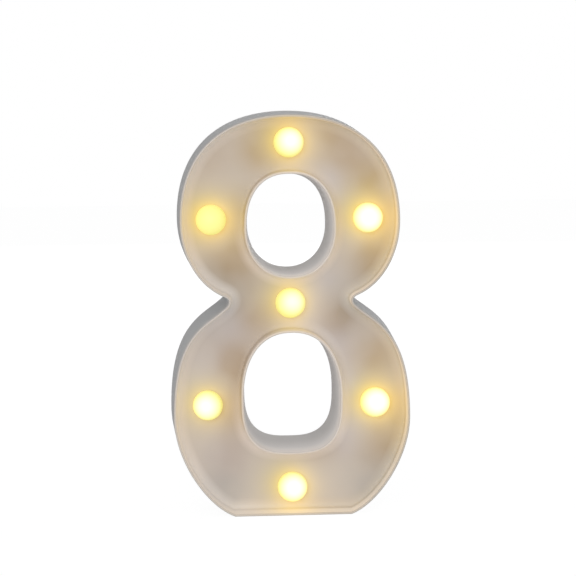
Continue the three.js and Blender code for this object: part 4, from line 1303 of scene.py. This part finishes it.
def lettering(word, size, x, z, depth):
    """Letters to be cut into the back, read from behind."""
    text = bpy.data.curves.new(word, "FONT")
    text.body = word
    text.size = size
    text.align_x = "CENTER"
    text.align_y = "CENTER"
    text.extrude = depth
    text.offset = size * LETTER_WEIGHT
    text.resolution_u = 4
    mesh = evaluated(work_object(text))
    shape = bmesh.new()
    shape.from_mesh(mesh)
    bmesh.ops.remove_doubles(shape, verts=shape.verts, dist=LETTER_WELD)
    bmesh.ops.recalc_face_normals(shape, faces=shape.faces)
    shape.to_mesh(mesh)
    shape.free()
    upright = Matrix.Rotation(math.pi, 4, "Z") @ Matrix.Rotation(math.pi / 2, 4, "X")
    mesh.transform(Matrix.Translation((x, BACK, z)) @ upright)
    return mesh


def finish_cut_moulding(mesh):
    """Shades a carved moulding, and marks its rounded edges and the floors of its engraving, which its
    material darkens as painted shade.
    """
    depth = bpy.context.scene.marquee_back.engraving
    smooth(mesh, keep_flat=True)
    face_mask(mesh, ROUNDED_MASK, lambda face: face.use_smooth)
    face_mask(
        mesh, SUNK_SHADE_MASK,
        lambda face: face.normal.y > FLAT_FACE and abs(face.center.y - BACK + depth) < depth / 9,
    )


# The back cover

def cover_plate():
    """The cover's plate with its rounded edge and the holes of both counters."""
    s = bpy.context.scene.marquee_shell
    b = bpy.context.scene.marquee_back
    inside = BACK - b.thickness
    gap = s.wall + b.clearance
    profile = [(inside, 0.0)] + [(BACK - along, aside) for aside, along in quarter(b.edge_round, 3)]
    plate = Rings()
    stacks = [[plate.ring(outline(spread(inside) - gap - aside, gap + aside), y) for y, aside in profile]]
    for side in ("upper", "lower"):
        grow = gap - spread(inside)
        stacks.append([plate.ring(counter_ring(side, grow + aside), y) for y, aside in profile])
    for rings in stacks:
        plate.walls(rings)
    plate.fill([rings[0] for rings in stacks])
    plate.fill([rings[-1] for rings in stacks])
    return plate.mesh("cover_plate")


def keyhole_ring():
    """The outline of the keyhole that hangs the number on a wall screw."""
    b = bpy.context.scene.marquee_back
    low = middle_of("globe_top").z - b.keyhole_rise / 2
    high = low + b.keyhole_rise
    meet = math.acos(b.slot_half / b.keyhole_radius)
    turn = 2 * math.pi - (math.pi - 2 * meet)
    half_steps = ROUND_STEPS // 2
    ring = []
    for radius, z, turns in (
        (b.keyhole_radius, low, [meet - turn * i / ROUND_STEPS for i in range(ROUND_STEPS + 1)]),
        (b.slot_half, high, [math.pi - math.pi * i / half_steps for i in range(half_steps + 1)]),
    ):
        ring += [Vector((radius * math.cos(a), z + radius * math.sin(a))) for a in turns]
    return ring


def bay_cuts():
    """What is open in the battery bay: the bay, the notches and the slots for the contacts' tails."""
    b = bpy.context.scene.marquee_back
    inside = BACK - b.thickness
    wall_end = b.bay_half + b.bay_wall + OVERRUN
    middle = (b.bay_low + b.bay_high) / 2
    outer = b.bay_half + b.bay_wall + b.notch_gap + b.pad_reach
    latch_start = b.bay_half - OVERRUN
    leg = b.latch_half + b.clearance
    pad = b.pad_half + b.clearance
    cuts = [
        ((-b.bay_half, b.bay_floor, b.bay_low), (b.bay_half, BACK + OVERRUN, b.bay_high)),
        ((latch_start, BACK - b.latch_depth - b.clearance, middle - leg), (wall_end, inside, middle + leg)),
        (
            (latch_start, inside - b.clearance, middle - pad),
            (outer + b.notch_gap, BACK + OVERRUN, middle + pad),
        ),
    ]
    for side in (-1, 1):
        z = middle + side * b.tab_share * (b.bay_high - b.bay_low)
        half = b.tab_half + b.clearance
        cuts.append(((-wall_end, inside - b.tab_notch, z - half), (OVERRUN - b.bay_half, inside, z + half)))
    half = b.tail_half + b.clearance
    near = b.bay_half - 2 * b.clearance - b.contact_thickness
    under = b.bay_floor - b.bay_wall - OVERRUN
    for cell in ("cell_lower", "cell_upper"):
        z = middle_of(cell).z
        cuts.append(((near, under, z - half), (b.bay_half, b.bay_floor + OVERRUN, z + half)))
    return [solid_box(low, high) for low, high in cuts]


def cover_mesh():
    """The cover: plate, bay walls and switch pocket, with every opening cut and every edge softened."""
    b = bpy.context.scene.marquee_back
    inside = BACK - b.thickness
    root = inside + b.thickness / 2
    body = middle_of("switch_body")
    floor = BACK - b.pocket_depth
    under = floor - b.pocket_floor
    half_x, half_z = b.pocket_half_x, b.pocket_half_z
    wall = b.bay_wall
    past = BACK + OVERRUN
    slot_x = b.knob_half_x + b.clearance
    slot_z = b.knob_half_z + b.knob_travel / 2 + b.clearance
    joins = [
        solid_box(
            (-b.bay_half - wall, b.bay_floor - wall, b.bay_low - wall),
            (b.bay_half + wall, root, b.bay_high + wall),
        ),
        box_about(body.x, body.z, half_x + wall, half_z + wall, under, root),
    ]
    cuts = [
        *bay_cuts(),
        box_about(body.x, body.z, half_x, half_z, floor, past),
        box_about(body.x, body.z, slot_x, slot_z, under - OVERRUN, floor + OVERRUN),
        solid_column(keyhole_ring(), inside - OVERRUN, past),
    ]
    for screw in SWITCH_SCREWS:
        z = middle_of(screw).z
        joins.append(solid_round(body.x, z, b.switch_boss, under, root))
        cuts.append(solid_round(body.x, z, b.switch_pilot, under - OVERRUN, under + b.switch_pilot_depth))
    for screw in SCREWS:
        place = middle_of(screw)
        cuts.append(solid_round(place.x, place.z, b.screw_bore, inside - OVERRUN, past))
        cuts.append(solid_round(place.x, place.z, b.screw_sink, BACK - b.sink_depth, past))
    plain_cover = softened(carve(cover_plate(), cuts, joins), b.soft_edge)
    on = lettering("ON", b.letter_size, body.x, body.z + half_z + b.letter_gap, b.engraving)
    off = lettering("OFF", b.letter_size, body.x, body.z - half_z - b.letter_gap, b.engraving)
    return carve(plain_cover, [on, off])


class MARQUEE_OT_cover(bpy.types.Operator):
    """Builds the back cover with its bay, pocket, keyhole and lettering"""
    bl_idname = "marquee.cover"
    bl_label = "Build Cover"

    def execute(self, context):
        mesh = cover_mesh()
        finish_cut_moulding(mesh)
        white = moulding_material("White moulding", tuple(context.scene.marquee_shell.plastic))
        piece("cover_moulding", mesh, "housing", white, ("back_cover",))
        return {"FINISHED"}


# The battery door

GRIP_GROOVES = 3
# How much of the thumb pad's length the grooves take up
GRIP_SHARE = 0.7
GRIP_STEPS = 16


def door_arrow(tip, z, size):
    """An arrow head that points towards the latch."""
    return [Vector((tip, z)), Vector((tip - size, z + size / 2)), Vector((tip - size, z - size / 2))]


def door_mesh():
    """The door with grip grooves on its latch, an arrow and a groove round its face."""
    b = bpy.context.scene.marquee_back
    door = softened(welded("battery_door"), b.soft_edge)
    middle = (b.bay_low + b.bay_high) / 2
    edge = b.bay_half - b.clearance
    start = b.bay_half + b.bay_wall + b.notch_gap
    floor = BACK - b.engraving
    reach = b.pad_half * GRIP_SHARE
    cuts = []
    for i in range(1, GRIP_GROOVES + 1):
        x = start + b.pad_reach * i / (GRIP_GROOVES + 1)
        groove = turned("groove", [(b.grip_radius, -reach), (b.grip_radius, reach)], Vector(), GRIP_STEPS)
        groove.transform(Matrix.Translation((x, BACK, middle)) @ Matrix.Rotation(math.pi / 2, 4, "X"))
        cuts.append(groove)
    cuts.append(solid_column(door_arrow(edge - b.arrow_inset, middle, b.arrow_size), floor, BACK + OVERRUN))
    half = middle - b.bay_low - b.clearance
    inset = b.panel_inset
    outer = box_about(0, middle, edge - inset, half - inset, floor, BACK + OVERRUN)
    inset += b.panel_groove
    inner = box_about(0, middle, edge - inset, half - inset, BACK - OVERRUN, BACK + 2 * OVERRUN)
    return carve(door, [*cuts, carve(outer, [inner])])


class MARQUEE_OT_door(bpy.types.Operator):
    """Builds the battery door with its latch"""
    bl_idname = "marquee.door"
    bl_label = "Build Door"

    def execute(self, context):
        mesh = door_mesh()
        finish_cut_moulding(mesh)
        white = bpy.data.materials["White moulding"]
        piece("door_moulding", mesh, "door", white, ("battery_door",))
        return {"FINISHED"}


# The screws

# The head's curve from its middle to its edge, as shares of its radius and its height
SCREW_HEAD = (
    (0.0, 1.0), (0.45, 0.97), (0.72, 0.83), (0.9, 0.58), (0.98, 0.32), (1.0, 0.12), (0.98, 0.0),
)
# The cross recess: its reach and half width in the head's radius, and its floor in the head's height
CROSS_REACH, CROSS_HALF, CROSS_FLOOR = 0.62, 0.14, 0.45
# How far each cover screw was turned when it was driven home, in degrees
SCREW_TURNS = (12, 55, 31, 78, 8, 40, 66, 23)


def screw_mesh(name, radius, height, shank, reach):
    """A pan-head screw with a cross recess; level 0 is under its head, which points to +Y."""
    profile = [(across * radius, up * height) for across, up in SCREW_HEAD]
    profile += [(shank, 0.0), (shank, shank - reach), (0.0, -reach)]
    body = turned(name, profile, Vector(), ROUND_STEPS)
    arm, half, deep = radius * CROSS_REACH, radius * CROSS_HALF, height * CROSS_FLOOR
    top = height + OVERRUN
    return carve(body, [box_about(0, 0, arm, half, deep, top), box_about(0, 0, half, arm, deep, top)])


class MARQUEE_OT_screws(bpy.types.Operator):
    """Builds the screws of the cover and of the switch"""
    bl_idname = "marquee.screws"
    bl_label = "Build Screws"

    def execute(self, context):
        b = context.scene.marquee_back
        steel = metal_material("Plated steel", (0.60, 0.60, 0.615), 0.26)
        mesh = screw_mesh("pan_head_screw", b.screw_head, b.screw_height, b.screw_shank, b.screw_length)
        smooth(mesh)
        mesh.materials.clear()
        mesh.materials.append(steel)
        for i, name in enumerate(SCREWS):
            obj = bpy.data.objects.new(f"pan_head_{i + 1}", mesh)
            context.scene.collection.objects.link(obj)
            place = middle_of(name)
            obj.matrix_world = (
                Matrix.Translation((place.x, BACK - b.sink_depth + b.seat_gap, place.z))
                @ Matrix.Rotation(SCREW_TURNS[i] * DEGREE, 4, "Y")
            )
            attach(obj, "housing")
            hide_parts(name)
        small = screw_mesh("small_screw", b.small_head, b.small_height, b.small_shank, b.small_length)
        small.transform(Matrix.Rotation(math.pi, 4, "Z"))
        smooth(small)
        for name in SWITCH_SCREWS:
            mesh = small.copy()
            place = middle_of(name)
            mesh.transform(Matrix.Translation((place.x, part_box(name)[0].y + b.small_height, place.z)))
            piece(f"turned_{name}", mesh, "housing", steel, (name,))
        return {"FINISHED"}


# The cells and their contacts

CELL_STEPS = 72
SPRING_STEPS = 108
# The cell's ends as (share of its radius, mm from the end's face, 1 where the metal is bare)
FLAT_END = (
    (0.55, 0.25, 1), (0.62, 0, 1), (0.86, 0, 1), (0.92, 0.2, 1), (0.94, 0.2, 0), (0.985, 0.4, 0), (1, 0.9, 0),
)
CRIMPED_END = ((1, 0.9), (0.985, 0.35), (0.94, 0.08), (0.86, 0))
BARE_RING = ((0.85, 0.1), (0.66, 0.3), (0.45, 0.3))
# How far the nub's foot goes into the ring, and its edge as (mm inside its radius, mm below its top)
NUB_FOOT = 0.05
NUB_EDGE = ((0, 0.3), (0.25, 0.06), (0.7, 0))
# How far the edges of thin metal and of the switch are softened
THIN_EDGE = 0.12 * MM
# The button's curve from its middle to its edge, as shares of its radius and its height
BUTTON_CURVE = ((0.0, 1.0), (0.45, 0.97), (0.75, 0.85), (0.9, 0.6), (1.0, 0.2))
# The radius of the button's foot as a share of the button's, and how far the foot goes into its plate
BUTTON_FOOT = 1.25
BUTTON_SEAT = 0.02 * MM
# The two tones of the jacket's print, of its band and of the bare steel
JACKET_PRINT = (0.085, 0.095, 0.105), (0.10, 0.11, 0.12)
JACKET_BAND = (0.40, 0.41, 0.42), (0.46, 0.47, 0.48)
BARE_STEEL = (0.62, 0.62, 0.62), (0.45, 0.45, 0.46)


def cell_mesh(name, turn):
    """An AA cell along X with a crimped jacket, its nub towards the side given by turn."""
    b = bpy.context.scene.marquee_back
    r, half = b.cell_radius, b.cell_length / 2
    top = half - b.nub_height
    band = top - b.band_length
    shape = Rings(METAL_MASK, BAND_MASK)
    # Radius, level, bare metal and band, from the flat end over the jacket to the nub
    profile = [
        *((across * r, -half + inside * MM, bare, 0) for across, inside, bare in FLAT_END),
        (r, band, 0, 0),
        (r, band, 0, 1),
        *((across * r, top - inside * MM, 0, 1) for across, inside in CRIMPED_END),
        *((across * r, top - inside * MM, 1, 0) for across, inside in BARE_RING),
        (b.nub_radius, top - NUB_FOOT * MM, 1, 0),
        *((b.nub_radius - inside * MM, half - below * MM, 1, 0) for inside, below in NUB_EDGE),
    ]
    rings = [shape.ring(circle(0, 0, radius, CELL_STEPS), level, *masks) for radius, level, *masks in profile]
    shape.walls(rings)
    shape.fill([rings[0]])
    shape.fill([rings[-1]])
    mesh = shape.mesh(name)
    mesh.transform(Matrix.Rotation(-turn * math.pi / 2, 4, "Z"))
    return mesh


def cell_material():
    """A printed jacket with a paler band and bare steel ends."""
    material, tree, shader = new_material("Cell jacket")
    bare = mask_value(tree, METAL_MASK)
    texture = grain(tree, Grain_per_metre=5200.0)
    marks = handling(tree)
    print_colour = mix_colour(tree, texture["Flow"], *JACKET_PRINT)
    band_colour = mix_colour(tree, texture["Flow"], *JACKET_BAND)
    steel_colour = mix_colour(tree, marks["Scratches"], *BARE_STEEL)
    base = mix_colour(tree, mask_value(tree, BAND_MASK), print_colour, band_colour)
    base = mix_colour(tree, times(tree, marks["Dust"], 0.1), base, (0.3, 0.3, 0.3))
    feed(tree, shader.inputs["Base Color"], mix_colour(tree, bare, base, steel_colour))
    feed(tree, shader.inputs["Metallic"], bare)
    feed(tree, shader.inputs["Roughness"], times_plus(tree, marks["Scratches"], 0.15, 0.26))
    add_bump(tree, shader, texture["Height"], 0.1, JACKET_DEPTH)
    return material


def wire_mesh(points, radius):
    """A round wire through points, closed at both ends."""
    curve = bpy.data.curves.new("wire", "CURVE")
    curve.dimensions = "3D"
    curve.bevel_depth = radius
    curve.bevel_resolution = 3
    curve.use_fill_caps = True
    line = curve.splines.new("POLY")
    line.points.add(len(points) - 1)
    for place, point in zip(line.points, points):
        place.co = (*point, 1)
    return evaluated(work_object(curve))


def spring_mesh(side, z):
    """The coil that meets a cell's flat end, wide at the plate."""
    b = bpy.context.scene.marquee_back
    y = middle_of("cell_lower").y
    start = b.bay_half - b.clearance - b.contact_thickness / 2
    end = b.cell_length / 2 + b.clearance + b.spring_wire / 2
    points = []
    for i in range(SPRING_STEPS + 1):
        along = i / SPRING_STEPS
        radius = b.spring_wide + (b.spring_narrow - b.spring_wide) * along
        turn = along * b.spring_turns * 2 * math.pi
        x = side * (start + (end - start) * along)
        points.append(Vector((x, y + radius * math.cos(turn), z + radius * math.sin(turn))))
    return wire_mesh(points, b.spring_wire / 2)


def button_mesh(side, z):
    """The pressed button that meets a cell's nub."""
    b = bpy.context.scene.marquee_back
    y = middle_of("cell_lower").y
    plate = b.bay_half - b.clearance - b.contact_thickness
    tip = b.cell_length / 2 + b.clearance
    rise = plate - tip
    profile = [(across * b.button_radius, up * rise) for across, up in BUTTON_CURVE]
    profile.append((BUTTON_FOOT * b.button_radius, -BUTTON_SEAT))
    button = turned("button", profile, Vector(), ROUND_STEPS)
    button.transform(Matrix.Translation((side * plate, y, z)) @ Matrix.Rotation(side * math.pi / 2, 4, "Z"))
    return button


def plate_mesh(side, low, high, tail=None):
    """A contact plate against an end wall of the bay, with a solder tail where it has one."""
    b = bpy.context.scene.marquee_back
    cell = middle_of("cell_lower")
    near, far = b.bay_half - b.clearance - b.contact_thickness, b.bay_half - b.clearance
    x_low, x_high = sorted((side * near, side * far))
    foot = b.bay_floor + b.clearance
    plate = solid_box((x_low, foot, low), (x_high, cell.y + b.contact_drop, high))
    if tail is not None:
        end = b.bay_floor - b.bay_wall - b.tail_reach
        pin = solid_box(
            (x_low, end, tail - b.tail_half), (x_high, foot + OVERRUN / 2, tail + b.tail_half)
        )
        plate = carve(plate, [], [pin])
    return softened(plate, THIN_EDGE)


class MARQUEE_OT_power(bpy.types.Operator):
    """Builds the cells and their contacts"""
    bl_idname = "marquee.power"
    bl_label = "Build Cells and Contacts"

    def execute(self, context):
        b = context.scene.marquee_back
        jacket = cell_material()
        for name, turn in (("cell_lower", 1), ("cell_upper", -1)):
            mesh = cell_mesh(f"jacketed_{name}", turn)
            mesh.transform(Matrix.Translation(middle_of(name)))
            smooth(mesh)
            piece(f"jacketed_{name}", mesh, "housing", jacket, (name,))
        tin = metal_material("Tinned steel", (0.66, 0.65, 0.62), 0.22)
        low, high = middle_of("cell_lower").z, middle_of("cell_upper").z
        half = b.contact_half
        contacts = {
            "positive_contact": [plate_mesh(1, low - half, low + half, low), button_mesh(1, low)],
            "negative_spring_contact": [
                plate_mesh(1, high - half, high + half, high), spring_mesh(1, high),
            ],
            "bridge_spring_contact": [
                plate_mesh(-1, low - half, high + half), spring_mesh(-1, low), button_mesh(-1, high),
            ],
        }
        for name, parts in contacts.items():
            mesh = merged(f"formed_{name}", parts)
            smooth(mesh, keep_flat=True)
            piece(f"formed_{name}", mesh, "housing", tin, (name,))
        return {"FINISHED"}


# The switch and the wiring

# Edges sharper than this are shaded sharp on wires, whose bends are faceted
WIRE_EDGE = 50 * DEGREE


class MARQUEE_OT_switch(bpy.types.Operator):
    """Finishes the slide switch"""
    bl_idname = "marquee.switch"
    bl_label = "Finish Switch"

    def execute(self, context):
        black = moulding_material("Black moulding", (0.022, 0.022, 0.024), 0.42)
        for name, body in (("switch_body", "housing"), ("switch_knob", "knob")):
            mesh = softened(welded(name), THIN_EDGE)
            smooth(mesh, keep_flat=True)
            piece(f"moulded_{name}", mesh, body, black, (name,))
        return {"FINISHED"}


class MARQUEE_OT_wiring(bpy.types.Operator):
    """Finishes the wires and the resistor"""
    bl_idname = "marquee.wiring"
    bl_label = "Finish Wiring"

    def execute(self, context):
        red = moulding_material("Red sleeve", (0.45, 0.03, 0.025), 0.4)
        black = moulding_material("Black sleeve", (0.02, 0.02, 0.022), 0.4)
        lacquer = moulding_material("Resistor lacquer", (0.62, 0.46, 0.26), 0.35)
        finishes = {
            "battery_feed_wire": (red, "red_sleeve"),
            "switch_link_wire": (red, "red_sleeve"),
            "positive_bus_wire": (red, "red_sleeve"),
            "negative_bus_wire": (black, "black_sleeve"),
            "resistor": (lacquer, "resistor_body"),
        }
        for name, (material, slot) in finishes.items():
            mesh = welded(name)
            smooth(mesh, WIRE_EDGE)
            piece(f"round_{name}", mesh, "housing", material, (name,))
        return {"FINISHED"}


# The stage

def camera_matrix(stage):
    """Where the camera stands and how it looks."""
    yaw, pitch, roll = stage.camera_yaw, stage.camera_pitch, stage.camera_roll
    ahead = Vector((math.sin(yaw) * math.cos(pitch), math.cos(yaw) * math.cos(pitch), math.sin(pitch)))
    right = Vector((math.cos(yaw), -math.sin(yaw), 0))
    up = right.cross(ahead)
    right, up = (
        right * math.cos(roll) + up * math.sin(roll),
        up * math.cos(roll) - right * math.sin(roll),
    )
    turn = Matrix((right, up, -ahead)).transposed().to_4x4()
    return Matrix.Translation(stage.camera_place) @ turn


def seen_itself(tree):
    """1 where the camera looks at a surface, straight or by way of metal or glass, else 0."""
    path = node(tree, "ShaderNodeLightPath")
    seen = math_node(tree, "MAXIMUM", path.outputs["Is Camera Ray"], path.outputs["Is Glossy Ray"])
    return math_node(tree, "MAXIMUM", seen, path.outputs["Is Transmission Ray"])


# How much of the seen floor is its own even white, and how bright that is
FLOOR_WHITE_SHARE = 0.88
FLOOR_WHITE = 1.08


def floor_material():
    """A pale floor that keeps the object's shadow."""
    material, tree, shader = new_material("Pale floor")
    texture = grain(tree, Flow_per_metre=6.0)
    pale = mix_colour(tree, texture["Flow"], (0.82, 0.82, 0.82), (0.8, 0.8, 0.8))
    feed(tree, shader.inputs["Base Color"], pale)
    shader.inputs["Roughness"].default_value = 0.9
    shader.inputs["Specular IOR Level"].default_value = 0.0
    white = node(tree, "ShaderNodeEmission")
    white.inputs["Strength"].default_value = FLOOR_WHITE
    mixed = node(tree, "ShaderNodeMixShader")
    feed(tree, mixed.inputs[0], times(tree, seen_itself(tree), FLOOR_WHITE_SHARE))
    feed(tree, mixed.inputs[1], shader.outputs["BSDF"])
    feed(tree, mixed.inputs[2], white.outputs[0])
    output = next(n for n in tree.nodes if n.type == "OUTPUT_MATERIAL")
    feed(tree, output.inputs["Surface"], mixed.outputs[0])
    return material


# The least light that comes from any side of the room, and its colour
ROOM_LEAST = 0.04
ROOM_COLOUR = (0.985, 0.995, 1.01, 1)


def room_light(stage):
    """A plain soft room: white where the camera sees it, gentler light on the object."""
    world = bpy.data.worlds.new("Studio")
    world.use_nodes = True
    tree = world.node_tree
    tree.nodes.clear()
    output = node(tree, "ShaderNodeOutputWorld")
    seen_light = node(tree, "ShaderNodeBackground")
    room = node(tree, "ShaderNodeBackground")
    toward = node(tree, "ShaderNodeVectorMath", operation="DOT_PRODUCT")
    feed(tree, toward.inputs[0], node(tree, "ShaderNodeTexCoord").outputs["Generated"])
    toward.inputs[1].default_value = tuple(stage.room_from)
    level = math_node(tree, "ADD", toward.outputs["Value"], stage.room_level)
    feed(tree, room.inputs["Strength"], math_node(tree, "MAXIMUM", level, ROOM_LEAST))
    room.inputs["Color"].default_value = ROOM_COLOUR
    seen_light.inputs["Color"].default_value = (1, 1, 1, 1)
    seen_light.inputs["Strength"].default_value = 1.0
    mixed = node(tree, "ShaderNodeMixShader")
    feed(tree, mixed.inputs[0], seen_itself(tree))
    feed(tree, mixed.inputs[1], room.outputs[0])
    feed(tree, mixed.inputs[2], seen_light.outputs[0])
    feed(tree, output.inputs["Surface"], mixed.outputs[0])
    return world


# Each lamp's place, its width and the setting that holds its power
LAMPS = {
    "Key lamp": ((-0.35, -1.8, 0.4), 1.0, "key_level"),
    "Back lamp": ((0.2, 1.8, 0.5), 0.8, "back_level"),
    "Side lamp": ((1.6, 0.6, 0.5), 0.8, "side_level"),
}
# Where the lamps aim, and how far the camera sees, in metres
LAMPS_AIM = (0, 0, 0.11)
FARTHEST_SEEN = 20


def area_lamp(name, place, target, size, power):
    """A soft square lamp that faces a target."""
    light = bpy.data.lights.new(name, "AREA")
    light.size = size
    light.energy = power
    lamp = bpy.data.objects.new(name, light)
    bpy.context.scene.collection.objects.link(lamp)
    lamp.location = place
    lamp.rotation_euler = (Vector(target) - Vector(place)).to_track_quat("-Z", "Y").to_euler()


class MARQUEE_OT_stage(bpy.types.Operator):
    """Sets the floor, the light and the camera"""
    bl_idname = "marquee.stage"
    bl_label = "Set Stage"

    def execute(self, context):
        scene = context.scene
        stage = scene.marquee_stage
        half = stage.floor_size / 2
        floor = bpy.data.meshes.new("stage_floor")
        corners = [(-half, -half, 0), (half, -half, 0), (half, half, 0), (-half, half, 0)]
        floor.from_pydata(corners, [], [(0, 1, 2, 3)])
        floor.materials.append(floor_material())
        obj = bpy.data.objects.new("stage_floor", floor)
        scene.collection.objects.link(obj)
        scene.world = room_light(stage)
        for name, (place, size, level) in LAMPS.items():
            area_lamp(name, place, LAMPS_AIM, size, getattr(stage, level))
        camera = bpy.data.cameras.new("Camera")
        camera.sensor_fit = "HORIZONTAL"
        camera.sensor_width = stage.sensor
        camera.lens = stage.lens
        camera.clip_end = FARTHEST_SEEN
        eye = bpy.data.objects.new("Camera", camera)
        scene.collection.objects.link(eye)
        eye.matrix_world = camera_matrix(stage)
        scene.camera = eye
        scene.view_settings.view_transform = "Standard"
        return {"FINISHED"}


# The panel, registration and the run

OPERATORS = (
    MARQUEE_OT_shell,
    MARQUEE_OT_globes,
    MARQUEE_OT_cover,
    MARQUEE_OT_door,
    MARQUEE_OT_screws,
    MARQUEE_OT_power,
    MARQUEE_OT_switch,
    MARQUEE_OT_wiring,
    MARQUEE_OT_stage,
)
GROUPS = (
    ("marquee_outline", MarqueeOutline),
    ("marquee_counters", MarqueeCounters),
    ("marquee_shell", MarqueeShell),
    ("marquee_globes", MarqueeGlobes),
    ("marquee_back", MarqueeBack),
    ("marquee_stage", MarqueeStage),
)


class MARQUEE_PT_panel(bpy.types.Panel):
    """Lists the pieces that can be built and their sizes"""
    bl_idname = "MARQUEE_PT_panel"
    bl_label = "Marquee Number"
    bl_space_type = "VIEW_3D"
    bl_region_type = "UI"
    bl_category = "Marquee"

    def draw(self, context):
        for operator in OPERATORS:
            self.layout.operator(operator.bl_idname)
        for name, group in GROUPS:
            box = self.layout.box()
            for key in group.__annotations__:
                box.prop(getattr(context.scene, name), key)


def register():
    """Adds the settings, the operators and the panel."""
    for name, group in GROUPS:
        bpy.utils.register_class(group)
        setattr(bpy.types.Scene, name, PointerProperty(type=group))
    for operator in OPERATORS:
        bpy.utils.register_class(operator)
    bpy.utils.register_class(MARQUEE_PT_panel)


def unregister():
    """Takes them away again."""
    bpy.utils.unregister_class(MARQUEE_PT_panel)
    for operator in reversed(OPERATORS):
        bpy.utils.unregister_class(operator)
    for name, group in reversed(GROUPS):
        delattr(bpy.types.Scene, name)
        bpy.utils.unregister_class(group)


def main():
    """Builds every piece and the stage."""
    register()
    bpy.ops.marquee.shell()
    bpy.ops.marquee.globes()
    bpy.ops.marquee.cover()
    bpy.ops.marquee.door()
    bpy.ops.marquee.screws()
    bpy.ops.marquee.power()
    bpy.ops.marquee.switch()
    bpy.ops.marquee.wiring()
    bpy.ops.marquee.stage()


if __name__ == "__main__":
    main()
